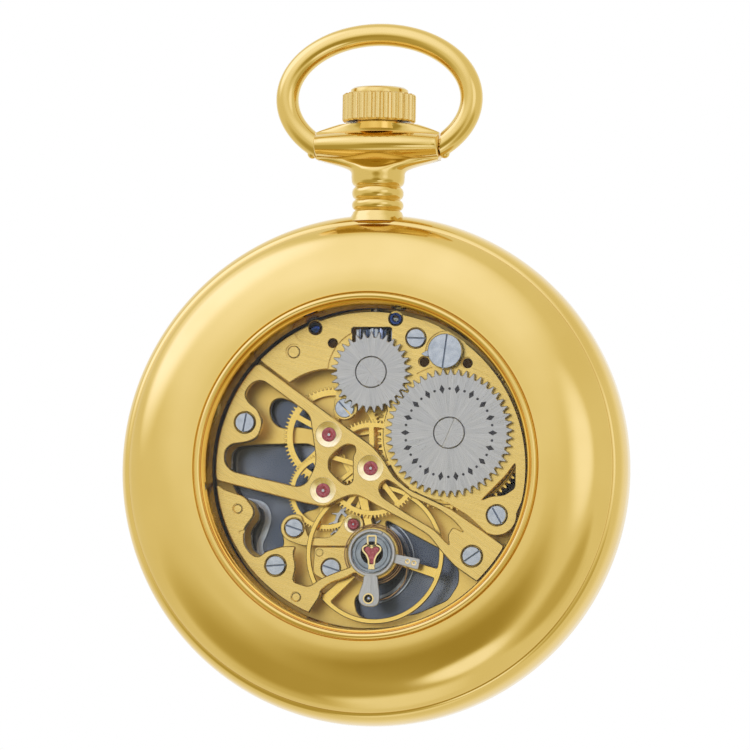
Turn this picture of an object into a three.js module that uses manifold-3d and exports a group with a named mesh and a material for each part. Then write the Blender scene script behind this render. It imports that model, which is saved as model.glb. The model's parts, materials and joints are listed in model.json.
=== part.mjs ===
// Open-face pocket watch with an exhibition back, modelled as its separate pieces.
// Millimetres. Inside the watch group x runs right as seen from the back, y runs to twelve
// o'clock and z runs out of the back window. The group is then stood upright, with its
// origin at the point inside the top of the bow where a chain hook hangs.
import * as THREE from 'three';
import * as BufferGeometryUtils from 'three/addons/utils/BufferGeometryUtils.js';
import Module from 'manifold-3d';

const wasm = await Module();
wasm.setup();

// ---- driving dimensions -------------------------------------------------------------
const CASE_RADIUS = 25;
const CASE_SIDES = 40;
const WINDOW_RADIUS = 15.8;
const DIAL_RADIUS = 21.2;
const PLATE_RADIUS = 15.9;
const BRIDGE_RADIUS = 15.3;
const GAP = 0.05;
const STEM_Z = 1.15;
const STEM_RADIUS = 0.5;

// levels along z, lowest first
const CRYSTAL_FACE = -5.75;
const BEZEL_FACE = -5.8;
const DIAL_LOW = -2.45;
const DIAL_HIGH = -2.15;
const PLATE_LOW = -1.3;
const PLATE_HIGH = -0.3;
const LOW_BRIDGE = [0.95, 1.3];
const BRIDGE = [2.3, 3.1];
const COCK = [2.45, 3.1];
const WINDING_WHEEL = [3.15, 3.6];
const PIVOT_TOP = 2.95;
const PIVOT_SHOULDER = 2.5;
const BACK_LIP = 6.6;

// bow and pendant, along y
const BOW_CENTRE_Y = 36.4;
const BOW_HALF_WIDTH = 9.2;
const BOW_HALF_HEIGHT = 6.35;
const BOW_WIRE = 1.05;
const BOW_PIVOT_X = 7.05;
const BOW_PIVOT_Y = 32;
const BOW_BALL = 1;
const HOOK_Y = BOW_CENTRE_Y + BOW_HALF_HEIGHT - BOW_WIRE;
const CROWN_BASE = 34.05;
const CROWN_HEIGHT = 2.75;
const CROWN_CAP_HEIGHT = 0.7;
const CROWN_FLUTES = 26;

// arbors of the movement, x and y
const CENTRE = [0, 0];
const BARREL = [7.78, 3.43];
const CROWN_WHEEL = [0, 9.34];
const THIRD = [-4.17, 3.27];
const FOURTH = [-4.66, -2.19];
const ESCAPE = [-1.94, -5.36];
const PALLET = [-3.3, -8.05];
const BALANCE = [0.35, -8.29];
const CLICK = [7.29, 11.38];
const LEVER = [2.28, 14.6];
const YOKE = [-3.4, 10.1];
const MINUTE_WHEEL = [0.63, 3.55];
const SETTING_WHEEL = [0.3, 7.28];

// tooth counts
const BARREL_TEETH = 78;
const CENTRE_LEAVES = 12;
const CENTRE_TEETH = 80;
const THIRD_LEAVES = 10;
const THIRD_TEETH = 75;
const FOURTH_LEAVES = 10;
const FOURTH_TEETH = 80;
const ESCAPE_LEAVES = 8;
const ESCAPE_TEETH = 15;
const RATCHET_TEETH = 50;
const CROWN_WHEEL_TEETH = 31;
const WINDING_LEAVES = 15;
const CANNON_LEAVES = 12;
const MINUTE_TEETH = 36;
const MINUTE_LEAVES = 12;
const HOUR_TEETH = 48;
const SETTING_TEETH = 14;

// screws: x, y, head radius, top of the head, foot of the shank, slot angle in degrees
const SCREWS = {
  train_bridge_screw_left: [-12.49, 4.42, 0.95, 3.2, -0.9, 80],
  train_bridge_screw_right: [10.12, -8.53, 0.95, 3.2, -0.9, 35],
  barrel_bridge_screw_top: [4.3, 12.7, 0.92, 3.2, -0.9, -2],
  barrel_bridge_screw_right: [12.51, -4.54, 0.95, 3.2, -0.9, -60],
  balance_cock_screw: [-9.21, -9.54, 0.95, 3.2, -0.9, 4],
  escape_bridge_screw: [-7.73, -5.76, 0.9, 1.55, -0.9, -18],
  pallet_bridge_screw: [-4.05, -9.66, 0.9, 1.3, -0.9, -18],
  setting_lever_screw: [2.28, 14.6, 0.6, 3.15, -1.7, 40],
  case_screw: [-5.71, 13.7, 0.55, 3.15, -0.9, 30],
};
const SHANK = 0.35;

// ---- materials ----------------------------------------------------------------------
const finish = (color, roughness, metalness) => ({ color, roughness, metalness });
const GOLD = finish(0xe6c364, 0.18, 1);
const GILT = finish(0xe3bd63, 0.32, 1);
const STEEL = finish(0xc4c4c6, 0.3, 1);
const BLUED = finish(0x27345c, 0.25, 1);
const RUBY = finish(0xaa3c46, 0.15, 0);
const GLASS = finish(0xeef2f2, 0.03, 0);
const WHITE = finish(0xf2efe6, 0.5, 0);

// ---- solids -------------------------------------------------------------------------
function solid(geometry) {
  let plain = geometry.clone();
  plain.deleteAttribute('normal');
  plain.deleteAttribute('uv');
  plain = BufferGeometryUtils.mergeVertices(plain, 1e-4);
  const points = plain.attributes.position.array;
  const index = plain.index.array;
  const faces = [];
  let volume = 0;
  for (let i = 0; i < index.length; i += 3) {
    const [a, b, c] = [index[i], index[i + 1], index[i + 2]];
    if (a === b || b === c || c === a) continue;
    faces.push(a, b, c);
    const p = new THREE.Vector3().fromArray(points, a * 3);
    const q = new THREE.Vector3().fromArray(points, b * 3);
    const r = new THREE.Vector3().fromArray(points, c * 3);
    volume += p.dot(q.cross(r));
  }
  if (volume < 0) faces.reverse();
  const mesh = { numProp: 3, vertProperties: new Float32Array(points), triVerts: new Uint32Array(faces) };
  return new wasm.Manifold(new wasm.Mesh(mesh));
}

function geometryOf(manifold) {
  const mesh = manifold.getMesh();
  const geometry = new THREE.BufferGeometry();
  geometry.setAttribute('position', new THREE.BufferAttribute(mesh.vertProperties, 3));
  geometry.setIndex(new THREE.BufferAttribute(mesh.triVerts, 1));
  return geometry;
}

function join(...pieces) {
  return pieces.reduce((whole, piece) => whole.add(piece));
}

function cut(whole, ...tools) {
  return tools.reduce((left, tool) => left.subtract(tool), whole);
}

function outline(points) {
  return new THREE.Shape(points.map(([x, y]) => new THREE.Vector2(x, y)));
}

function extrude(points, low, high, holes = []) {
  const options = { depth: high - low, bevelEnabled: false };
  const body = solid(new THREE.ExtrudeGeometry(outline(points), options).translate(0, 0, low));
  return cut(body, ...holes.map((hole) => extrude(hole, low - 1, high + 1)));
}

// points on an arc about (x, y), degrees counter-clockwise from +x
function arc(x, y, radius, from, to, steps) {
  const points = [];
  for (let i = 0; i <= steps; i += 1) {
    const angle = THREE.MathUtils.degToRad(from + ((to - from) * i) / steps);
    points.push([x + radius * Math.cos(angle), y + radius * Math.sin(angle)]);
  }
  return points;
}

function circle([x, y], radius, sides) {
  return arc(x, y, radius, 0, 360 - 360 / sides, sides - 1);
}

function disc(place, radius, low, high, sides = 12) {
  return extrude(circle(place, radius, sides), low, high);
}

function tube(place, inner, outer, low, high, sides = 12) {
  return extrude(circle(place, outer, sides), low, high, [circle(place, inner, sides)]);
}

// a body of revolution about z, from [radius, z] points
function turned(profile, sides) {
  const points = profile.map(([radius, z]) => new THREE.Vector2(radius, z));
  return solid(new THREE.LatheGeometry(points, sides).rotateX(Math.PI / 2));
}

function turnedRing(profile, sides = CASE_SIDES) {
  return turned([...profile, profile[0]], sides);
}

// a round bar along y
function rodAlongY(x, z, radius, low, high, sides = 10) {
  const rod = new THREE.CylinderGeometry(radius, radius, high - low, sides);
  return solid(rod.translate(x, (low + high) / 2, z));
}

function rodAlongX(y, z, radius, low, high, sides = 8) {
  const rod = new THREE.CylinderGeometry(radius, radius, high - low, sides).rotateZ(Math.PI / 2);
  return solid(rod.translate((low + high) / 2, y, z));
}

function boxBetween([x0, y0, z0], [x1, y1, z1], turn = 0, about = [0, 0]) {
  const box = new THREE.BoxGeometry(x1 - x0, y1 - y0, z1 - z0);
  box.translate((x0 + x1) / 2, (y0 + y1) / 2, (z0 + z1) / 2);
  box.rotateZ(THREE.MathUtils.degToRad(turn)).translate(about[0], about[1], 0);
  return solid(box);
}

// ---- toothed pieces -----------------------------------------------------------------
function toothed(teeth, root, tip, phase) {
  const points = [];
  for (let i = 0; i < teeth; i += 1) {
    for (const [step, radius] of [[0, tip], [0.5, root]]) {
      const angle = THREE.MathUtils.degToRad(phase + ((i + step) * 360) / teeth);
      points.push([radius * Math.cos(angle), radius * Math.sin(angle)]);
    }
  }
  return points;
}

// tooth phase of a follower, so that its gap faces the leader's tooth
function meshPhase(from, to, leaderTeeth, leaderPhase, teeth) {
  const line = THREE.MathUtils.radToDeg(Math.atan2(to[1] - from[1], to[0] - from[0]));
  const offset = leaderPhase - line;
  return line + 180 - (offset * leaderTeeth) / teeth + 180 / teeth;
}

function windows(count, inner, outer, spokeWidth, turn) {
  const openings = [];
  for (let i = 0; i < count; i += 1) {
    const start = turn + (i * 360) / count;
    const end = start + 360 / count;
    const outerEdge = THREE.MathUtils.radToDeg(spokeWidth / 2 / outer);
    const innerEdge = THREE.MathUtils.radToDeg(spokeWidth / 2 / inner);
    openings.push([
      ...arc(0, 0, outer, start + outerEdge, end - outerEdge, 4),
      ...arc(0, 0, inner, end - innerEdge, start + innerEdge, 1),
    ]);
  }
  return openings;
}

function spokedWheel(teeth, root, tip, phase, low, high, spokes) {
  const { count, inner, outer, width, turn } = spokes;
  return extrude(toothed(teeth, root, tip, phase), low, high, windows(count, inner, outer, width, turn));
}

function pinion(leaves, root, tip, phase, low, high) {
  return extrude(toothed(leaves, root, tip, phase), low, high);
}

// ---- meshing order: the phase of each toothed piece --------------------------------
const FOURTH_PHASE = 0;
const FOURTH_LEAF_PHASE = 0;
const phase = {};
phase.escapeLeaf = meshPhase(FOURTH, ESCAPE, FOURTH_TEETH, FOURTH_PHASE, ESCAPE_LEAVES);
phase.third = meshPhase(FOURTH, THIRD, FOURTH_LEAVES, FOURTH_LEAF_PHASE, THIRD_TEETH);
phase.thirdLeaf = 0;
phase.centre = meshPhase(THIRD, CENTRE, THIRD_LEAVES, phase.thirdLeaf, CENTRE_TEETH);
phase.centreLeaf = 0;
phase.barrel = meshPhase(CENTRE, BARREL, CENTRE_LEAVES, phase.centreLeaf, BARREL_TEETH);
phase.crownWheel = 90;
phase.ratchet = meshPhase(CROWN_WHEEL, BARREL, CROWN_WHEEL_TEETH, phase.crownWheel, RATCHET_TEETH);
phase.cannon = 0;
phase.minute = meshPhase(CENTRE, MINUTE_WHEEL, CANNON_LEAVES, phase.cannon, MINUTE_TEETH);
phase.minuteLeaf = 0;
phase.hour = meshPhase(MINUTE_WHEEL, CENTRE, MINUTE_LEAVES, phase.minuteLeaf, HOUR_TEETH);
phase.setting = meshPhase(MINUTE_WHEEL, SETTING_WHEEL, MINUTE_TEETH, phase.minute, SETTING_TEETH);

// ---- case ---------------------------------------------------------------------------
const neckBore = () => rodAlongY(0, STEM_Z, 0.95, 15, 36);

function caseBand() {
  const band = turnedRing([
    [23.9, 3.4], [24.6, 2.6], [CASE_RADIUS, 1.3], [CASE_RADIUS, -1.3], [24.6, -2.6],
    [23.9, -3.4], [23.2, -3.4], [23.2, 3.4],
  ]);
  return cut(band, neckBore());
}

function backCover() {
  return turnedRing([
    [WINDOW_RADIUS, 5.72], [WINDOW_RADIUS, 6.25], [16.3, BACK_LIP], [16.65, BACK_LIP],
    [16.95, 6.4], [19.4, 6.2], [21.4, 5.6], [22.9, 4.75], [23.85, 3.45],
    [23.2, 3.45], [20.5, 5], [16.65, 5.1], [16.65, 5.72],
  ]);
}

function frontBezel() {
  return turnedRing([
    [24.3, -3.45], [24.2, -4.3], [22.6, BEZEL_FACE], [21.7, BEZEL_FACE],
    [21.2, -5.4], [21.2, -4.95], [21.8, -4.95], [21.8, -4.2], [23.1, -3.45],
  ]);
}

function frontCrystal() {
  return turned([
    [0, -4.3], [21.75, -4.3], [21.75, -4.9], [21.15, -4.9], [21.1, -5.4], [20.7, CRYSTAL_FACE],
    [0, CRYSTAL_FACE],
  ], CASE_SIDES);
}

function movementRing() {
  const ring = turnedRing([
    [16, -2.05], [16, 5.05], [16.5, 5.05], [17, 2.6], [23.1, 2.6], [23.1, -2.05],
  ]);
  return cut(ring, neckBore());
}

// an oval body along y: each section is [y, half width, half depth]
function ovalStack(sections, sides) {
  const shape = sections.map(([y, halfWidth]) => new THREE.Vector2(halfWidth, y));
  const ends = [new THREE.Vector2(0, sections[0][0]), new THREE.Vector2(0, sections.at(-1)[0])];
  const body = new THREE.LatheGeometry([ends[0], ...shape, ends[1]], sides);
  const position = body.attributes.position;
  for (let i = 0; i < position.count; i += 1) {
    const section = sections.find(([y]) => Math.abs(y - position.getY(i)) < 1e-4);
    position.setZ(i, (position.getZ(i) * section[2]) / section[1] + STEM_Z);
  }
  return solid(body);
}

function pendant() {
  const bead = (y) => [[y, 2.2, 2.2], [y + 0.6, 2.6, 2.6], [y + 1.2, 2.2, 2.2]];
  const body = ovalStack([
    [25.03, 2.6, 2.4], ...bead(25.3), ...bead(26.5), ...bead(27.75),
    [29.3, 2.9, 2.6], [30.4, 5.9, 3.1], [30.9, 5.95, 3.45], [32.5, 5.95, 3.45], [32.95, 5.9, 3.1],
    [33.85, 3.9, 2.6],
  ], 20);
  const pivotHoles = [-5.5, 5.5].map((x) => rodAlongX(BOW_PIVOT_Y, STEM_Z, 0.6, x - 0.7, x + 0.7));
  return cut(body, neckBore(), ...pivotHoles);
}

class BowCurve extends THREE.Curve {
  constructor(endAngle) {
    super();
    this.endAngle = endAngle;
  }

  getPoint(t, target = new THREE.Vector3()) {
    const angle = this.endAngle + t * (Math.PI - 2 * this.endAngle);
    const x = BOW_HALF_WIDTH * Math.cos(angle);
    const y = BOW_CENTRE_Y + BOW_HALF_HEIGHT * Math.sin(angle);
    return target.set(x, y, STEM_Z);
  }
}

function bow() {
  const endAngle = Math.asin((BOW_PIVOT_Y + 0.25 - BOW_CENTRE_Y) / BOW_HALF_HEIGHT);
  const wire = outline(circle([0, 0], BOW_WIRE, 8));
  const options = { extrudePath: new BowCurve(endAngle), steps: 30 };
  const loop = solid(new THREE.ExtrudeGeometry(wire, options));
  const ends = [-1, 1].map((side) => {
    const ball = new THREE.SphereGeometry(BOW_BALL, 10, 6).translate(side * BOW_PIVOT_X, BOW_PIVOT_Y, STEM_Z);
    const pin = rodAlongX(BOW_PIVOT_Y, STEM_Z, 0.45, side * 6 - 0.8, side * 6 + 0.8);
    return join(solid(ball), pin);
  });
  return join(loop, ...ends);
}

function crown() {
  const points = [];
  for (let i = 0; i < CROWN_FLUTES; i += 1) {
    for (const [step, radius] of [[0, 3.6], [0.5, 3.3]]) {
      const angle = ((i + step) * 2 * Math.PI) / CROWN_FLUTES;
      points.push([radius * Math.cos(angle), radius * Math.sin(angle)]);
    }
  }
  const gripTop = CROWN_BASE + CROWN_HEIGHT;
  const grip = extrude(points, CROWN_BASE, gripTop);
  const cap = disc([0, 0], 2.85, gripTop - 0.1, gripTop + CROWN_CAP_HEIGHT, 16);
  const body = geometryOf(join(grip, cap)).rotateX(-Math.PI / 2).translate(0, 0, STEM_Z);
  return cut(solid(body), rodAlongY(0, STEM_Z, 0.56, CROWN_BASE - 1, CROWN_BASE + 1.6));
}

// ---- keyless work ------------------------------------------------------------------
function windingStem() {
  const collars = [[13.85, 14.25], [14.95, 15.3]].map(([low, high]) => rodAlongY(0, STEM_Z, 0.8, low, high));
  return join(rodAlongY(0, STEM_Z, STEM_RADIUS, 8, CROWN_BASE + 1.5), ...collars);
}

function windingPinion() {
  const leaves = pinion(WINDING_LEAVES, 1.55, 1.9, 6, 12.2, 13.7);
  const body = geometryOf(leaves).rotateX(-Math.PI / 2).translate(0, 0, STEM_Z);
  return cut(solid(body), rodAlongY(0, STEM_Z, 0.58, 12, 14));
}

function clutchWheel() {
  const ends = [[9, 9.9], [10.7, 12.12]].map(([low, high]) => rodAlongY(0, STEM_Z, 1.05, low, high));
  const neck = rodAlongY(0, STEM_Z, 0.8, 9.8, 10.8);
  return cut(join(ends[0], neck, ends[1]), rodAlongY(0, STEM_Z, 0.58, 8.5, 13));
}

function settingLever() {
  const reach = 1.33;
  const plate = join(
    disc([0, 0], 0.8, -1.75, -1.45, 12),
    boxBetween([-reach, -0.3, -1.75], [0, 0.3, -1.45]),
    disc([-reach, 0], 0.3, -1.75, -1.45, 10),
  );
  const post = disc([-reach, 0], 0.25, -1.5, 1.3, 8);
  return cut(join(plate, post), disc([0, 0], SHANK + GAP, -2, 0, 10));
}

function yoke() {
  const reach = 2.25;
  const plate = join(
    disc([0, 0], 0.8, -1.75, -1.45, 12),
    boxBetween([0, -0.3, -1.75], [reach, 0.3, -1.45]),
  );
  return join(plate, disc([reach, 0.2], 0.25, -1.75, 1.3, 8));
}

function settingWheel() {
  return join(
    pinion(SETTING_TEETH, 0.92, 1.17, phase.setting, -1.8, -1.45),
    disc([0, 0], 0.35, -1.6, -0.1, 10),
    disc([0, 0], 1.1, -0.25, 0, 14),
  );
}

function minuteWheel() {
  const wheel = join(
    pinion(MINUTE_TEETH, 2.55, 2.82, phase.minute, -1.8, -1.45),
    pinion(MINUTE_LEAVES, 0.6, 0.82, phase.minuteLeaf, -2.1, -1.7),
  );
  return join(wheel, disc([0, 0], 0.3, -1.6, -0.6, 10));
}

// ---- plates and bridges --------------------------------------------------------------
function through([x, y], radius, sides = 8) {
  return disc([x, y], radius, -3, 5, sides);
}

function screwHoles(names) {
  return names.flatMap((name) => {
    const [x, y, head, top] = SCREWS[name];
    return [through([x, y], SHANK + GAP), disc([x, y], head + GAP, top - 0.4 - GAP, 6)];
  });
}

const KEYLESS_SLOT = [
  [-2.1, 11.8], [2.1, 11.8], [2.1, 13.9], [1.5, 13.9], [1.5, 17], [-1.5, 17], [-1.5, 13.9], [-2.1, 13.9],
];
const KIDNEY = [
  [-10.7, 5.9], [-10.4, 6.8], [-9.7, 7.1], [-8.9, 6.9], [-6.2, 5.4], [-6.1, 4], [-7.8, 4.3],
  [-9.4, 4.1], [-10.3, 4.7],
];
const LEFT_OPENING = [
  [-14.4, 0.2], [-14.4, 1.7], [-13.8, 2.3], [-12, 2.5], [-6.6, 2.6], [-5.2, 1.5], [-5.6, -3.7],
  [-6.6, -3.9], [-7.3, -4.3],
  [-8.9, -4.8], [-9.3, -5.9], [-9, -7.3], [-9.6, -8], [-10.9, -8.6], [-12.2, -7.8], [-12.4, -6],
  [-11.4, -4.6], [-12, -3.1], [-13.6, -2.5], [-14.2, -1.6],
];
const BALANCE_OPENING = [
  [1, -4.8], [6.9, -7.9], [8.3, -9.6], [8.3, -11], [7.3, -12.6], [4.4, -13.9], [1.6, -14.5],
  [-0.4, -14.6], [-1.6, -14.1],
  [-1.9, -13], [-1.8, -12.4], [-0.8, -11.6], [-0.8, -9.8], [1.6, -8.4],
];
const RIGHT_OPENING = [[14.3, 1], [14.3, -1.8], [13.3, -2.6], [11.9, -2.7], [12.6, -1.8], [13.6, -0.6]];

function mainplate() {
  const posts = [
    ['train_bridge_screw_left', 1.2, BRIDGE[0]], ['train_bridge_screw_right', 1.2, BRIDGE[0]],
    ['barrel_bridge_screw_top', 1.1, BRIDGE[0]], ['barrel_bridge_screw_right', 1.1, BRIDGE[0]],
    ['balance_cock_screw', 1.2, COCK[0]], ['escape_bridge_screw', 0.68, LOW_BRIDGE[0]],
    ['pallet_bridge_screw', 0.68, LOW_BRIDGE[0]], ['case_screw', 0.9, BRIDGE[0]],
  ].map(([name, radius, top]) => disc(SCREWS[name], radius, PLATE_HIGH - 0.2, top - GAP, 8));
  const openings = [KEYLESS_SLOT, KIDNEY, LEFT_OPENING, BALANCE_OPENING, RIGHT_OPENING];
  const shanks = Object.values(SCREWS).map(([x, y]) => through([x, y], SHANK + GAP, 6));
  const bearings = [
    [CENTRE, 0.5], [BARREL, 1.3], [THIRD, 0.32], [FOURTH, 0.32], [ESCAPE, 0.32], [PALLET, 0.32],
    [BALANCE, 0.32], [MINUTE_WHEEL, 0.4], [SETTING_WHEEL, 0.45],
  ].map(([place, radius]) => through(place, radius));
  const yokeSlot = disc([-1.1, 10.1], 0.7, -3, 0, 10);
  return cut(
    join(disc([0, 0], PLATE_RADIUS, PLATE_LOW, PLATE_HIGH, CASE_SIDES), ...posts),
    ...openings.map((points) => extrude(points, -3, 0)), ...shanks, ...bearings, yokeSlot,
  );
}

const TRAIN_BRIDGE = [
  [-11.1, 10.2], [0.3, 2.05], [1.4, 0.7], [2.3, -0.8], [3.85, -2.05], [6.5, -3.25], [8.1, -4],
  [13.2, -7.45],
  ...arc(0, 0, BRIDGE_RADIUS, -30.5, -46, 4),
  [8.4, -9.5], [6.95, -7.9], [5.9, -6.55], [4, -5.4], [0.6, -3.6], [-0.6, -2.9], [-1.4, -2.6],
  [-2.2, -2.7], [-3.2, -3.15], [-4.4, -3.8], [-6.5, -3.4], [-15.2, -1.25],
  ...arc(0, 0, BRIDGE_RADIUS, 183, 139, 8),
];
const TRAIN_WINDOW = [
  [-14.45, 0.5], [-14.4, 1.7], [-13.8, 2.3], [-12.1, 2.5], [-11.1, 3.05], [-10.7, 4.5], [-11.3, 5.8],
  [-12.1, 6.3],
  [-12.6, 7.2], [-11.9, 8.3], [-10.85, 8.6], [-6.3, 5.35], [-6, 4.8], [-5.4, 1], [-5.5, 0.1], [-6.3, -1.5],
  [-7.1, -1.85], [-13.7, -0.35],
];
const KEYHOLE = [
  [-3, 2], [-2.3, 2.35], [-1.6, 2.2], [-1.45, 1.7], [-1.75, 1.1], [-1.7, -1.3], [-2.3, -1.7], [-2.9, -1.35],
  [-4.1, -0.2], [-4.15, 0.8], [-3.7, 1.4],
];
const LONG_SLOT = [
  [0.85, -2.1], [1.05, -1.45], [1.65, -1.1], [2.4, -1.55], [4, -2.75], [6.9, -4.05], [8.2, -5], [9.3, -6.2],
  [8.2, -5.7], [7.7, -6.5], [7.9, -7.5], [6.4, -5.95], [3.6, -4.35], [1.2, -2.8],
];

function trainBridge() {
  const body = extrude(TRAIN_BRIDGE, BRIDGE[0], BRIDGE[1], [TRAIN_WINDOW, KEYHOLE, LONG_SLOT]);
  const bearings = [CENTRE, THIRD, FOURTH].map((place) => through(place, 0.78, 12));
  return cut(body, ...bearings, ...screwHoles(['train_bridge_screw_left', 'train_bridge_screw_right']));
}

// the tongue of the barrel bridge that reaches over the third wheel
const TONGUE = [-2.62, 5.85];

function barrelBridge() {
  const body = extrude([
    ...arc(0, 0, BRIDGE_RADIUS, 136.6, -12, 18),
    ...arc(12.51, -4.54, 1.95, 5, -125, 6),
    [9.7, -4.6], [8.15, -3.68], [6.85, -2.95],
    ...arc(BARREL[0], BARREL[1], 6.55, -98, -200, 10),
    ...arc(THIRD[0], THIRD[1], 6.4, 27, 45, 2),
    ...arc(TONGUE[0], TONGUE[1], 1.15, 35, -165, 7),
    ...arc(THIRD[0], THIRD[1], 6.4, 82, 128, 5),
  ], BRIDGE[0], BRIDGE[1]);
  const holes = [through(BARREL, 1.34, 12), through(CROWN_WHEEL, SHANK + GAP), through(CLICK, SHANK + GAP)];
  const pinionSlot = extrude([[-2.05, 11.9], [1.9, 11.9], [1.9, 13.75], [-2.05, 13.75]], 0, 5);
  const lock = disc([-3.9, 12.2], 0.45, 0, 5, 12);
  const rightGap = extrude([
    [14.25, 0.6], [14.25, -1.9], [13.2, -2.6], [11.9, -2.7], [10.9, -3.15], [13.4, -0.6],
  ], 0, 5);
  const clickHoles = [[5.1, 10.4], [9.35, 10.3]].map((place) => disc(place, 0.7, 2.7, 5, 12));
  const names = ['barrel_bridge_screw_top', 'barrel_bridge_screw_right', 'setting_lever_screw', 'case_screw'];
  return cut(body, ...holes, pinionSlot, lock, rightGap, ...clickHoles, ...screwHoles(names));
}

function balanceCock() {
  const body = extrude([
    [-15, -1.7], [-14.4, -2.15], [-12.4, -2.8], [-11.5, -3.9], [-11.4, -4.6], [-12.4, -6],
    [-12.4, -7.4], [-11.6, -8.5],
    [-10.9, -8.75], [-10.2, -8.15], [-8.6, -7.65], [-7.2, -7.65], [-7.5, -8.3], [-7.2, -9.6], [-7.5, -11.1],
    [-5.9, -11.6], [-4.7, -10.75], [-2.8, -10],
    ...arc(BALANCE[0], BALANCE[1], 2.55, 212, -132, 14),
    [-2.4, -10.75], [-3.8, -11.2], [-4.7, -11.95], [-4.8, -12.55],
    ...arc(0, 0, BRIDGE_RADIUS, 247.5, 186.5, 10),
  ], COCK[0], COCK[1]);
  return cut(body, through(BALANCE, 0.95, 12), ...screwHoles(['balance_cock_screw']));
}

function escapeBridge() {
  const body = extrude([
    ...arc(-7.73, -5.76, 1.35, 60, 250, 8),
    [-6.9, -7.5], [-2.4, -7.5],
    ...arc(ESCAPE[0], ESCAPE[1], 1.05, -75, 130, 7),
    [-3.5, -6.1], [-4.3, -6.7], [-6.3, -6.7],
  ], LOW_BRIDGE[0], LOW_BRIDGE[1]);
  return cut(body, through(ESCAPE, 0.6, 12), ...screwHoles(['escape_bridge_screw']));
}

function palletBridge() {
  const body = extrude([
    [-5.7, -7.62], [-2.4, -7.62], [-2.1, -9], [-2.3, -10.2], [-4.6, -10.9], [-5.8, -10.2],
  ], LOW_BRIDGE[0], LOW_BRIDGE[1]);
  return cut(body, through(PALLET, 0.2), ...screwHoles(['pallet_bridge_screw']));
}

// ---- going train -----------------------------------------------------------------------
const arbor = (radius, low, high) => disc([0, 0], radius, low, high, 10);
const pivot = () => arbor(0.15, PIVOT_SHOULDER - 0.1, PIVOT_TOP);

function mainspringBarrel() {
  const teeth = pinion(BARREL_TEETH, 7.12, 7.46, phase.barrel, 0.9, 1.25);
  const cup = cut(join(disc([0, 0], 6.9, -0.2, 1.5, 28), teeth), disc([0, 0], 6.55, -1, 1.3, 28));
  return cut(cup, disc([0, 0], 1.28, -2, 3));
}

// a flat ribbon wound round z
function spiral(inner, outer, turns, stepsPerTurn, width, low, high) {
  const steps = Math.round(turns * stepsPerTurn);
  const side = (offset) => (i) => {
    const angle = (i / stepsPerTurn) * 2 * Math.PI;
    const radius = inner + ((outer - inner) * i) / steps + offset;
    return [radius * Math.cos(angle), radius * Math.sin(angle)];
  };
  const count = Array.from({ length: steps + 1 }, (_, i) => i);
  const outside = count.map(side(width / 2));
  const inside = count.map(side(-width / 2)).reverse();
  return extrude([...outside, ...inside], low, high);
}

function barrelArbor() {
  const body = join(arbor(1.2, -1.1, 3.1), disc([0, 0], 0.9, 3, 3.12, 10));
  return cut(body, disc([0, 0], SHANK + GAP, 1.5, 4, 10));
}

function windingWheel(teeth, root, tip, turn) {
  const wheel = extrude(toothed(teeth, root, tip, turn), ...WINDING_WHEEL);
  return cut(wheel, disc([0, 0], 1.56, 0, 5, 16));
}

function slotted(radius, low, high, slotAngle, slotWidth = 0.18, slotDepth = 0.14) {
  const reach = radius + 1;
  const half = slotWidth / 2;
  const slot = boxBetween([-reach, -half, high - slotDepth], [reach, half, high + 1], slotAngle);
  return cut(disc([0, 0], radius, low, high, 14), slot);
}

function centreWheel() {
  const spokes = { count: 5, inner: 1.3, outer: 4.05, width: 0.45, turn: 20 };
  return join(
    spokedWheel(CENTRE_TEETH, 4.58, 4.84, phase.centre, 1.9, 2.05, spokes),
    pinion(CENTRE_LEAVES, 0.92, 1.24, phase.centreLeaf, 0.8, 1.35),
    arbor(0.45, -1.9, PIVOT_SHOULDER), pivot(),
  );
}

function thirdWheel() {
  const spokes = { count: 5, inner: 0.9, outer: 4, width: 0.5, turn: 8 };
  return join(
    spokedWheel(THIRD_TEETH, 4.66, 4.92, phase.third, 0.3, 0.45, spokes),
    pinion(THIRD_LEAVES, 0.48, 0.7, phase.thirdLeaf, 1.75, 2.2),
    arbor(0.25, -1.1, PIVOT_SHOULDER), pivot(),
  );
}

function fourthWheel() {
  const spokes = { count: 5, inner: 0.9, outer: 3.2, width: 0.4, turn: 40 };
  return join(
    spokedWheel(FOURTH_TEETH, 3.68, 3.88, FOURTH_PHASE, 0.65, 0.8, spokes),
    pinion(FOURTH_LEAVES, 0.53, 0.76, FOURTH_LEAF_PHASE, 0.2, 0.6),
    arbor(0.22, -1.1, PIVOT_SHOULDER), pivot(),
  );
}

function escapeWheel() {
  const points = [];
  for (let i = 0; i < ESCAPE_TEETH; i += 1) {
    for (const [step, radius] of [[0, 2.05], [9, 2.6], [12, 2.6], [7, 2.05]]) {
      const angle = THREE.MathUtils.degToRad((i * 360) / ESCAPE_TEETH + step);
      points.push([radius * Math.cos(angle), radius * Math.sin(angle)]);
    }
  }
  return join(
    extrude(points, 0, 0.2, windows(4, 0.6, 1.7, 0.3, 45)),
    pinion(ESCAPE_LEAVES, 0.28, 0.48, phase.escapeLeaf, 0.5, 0.9),
    arbor(0.18, -1.1, 1.2),
  );
}

function palletFork() {
  const lever = [
    [3.05, -0.1], [3.05, -0.32], [2.6, -0.3], [1.9, -0.42], [0.3, -0.45], [-0.3, -0.4], [-0.6, 0],
    [-1.25, 0.95],
    [-1.3, 1.25], [-1.06, 1.18], [-0.6, 0.45], [0, 0.15], [0.6, 0.02], [1.45, -0.04], [1.9, -0.16],
    [2.3, -0.08],
    [2.6, 0.25], [3.05, 0.32], [3.05, 0.1], [2.85, 0],
  ];
  return join(extrude(lever, 0, 0.2), arbor(0.16, -1.1, 1.2));
}

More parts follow.
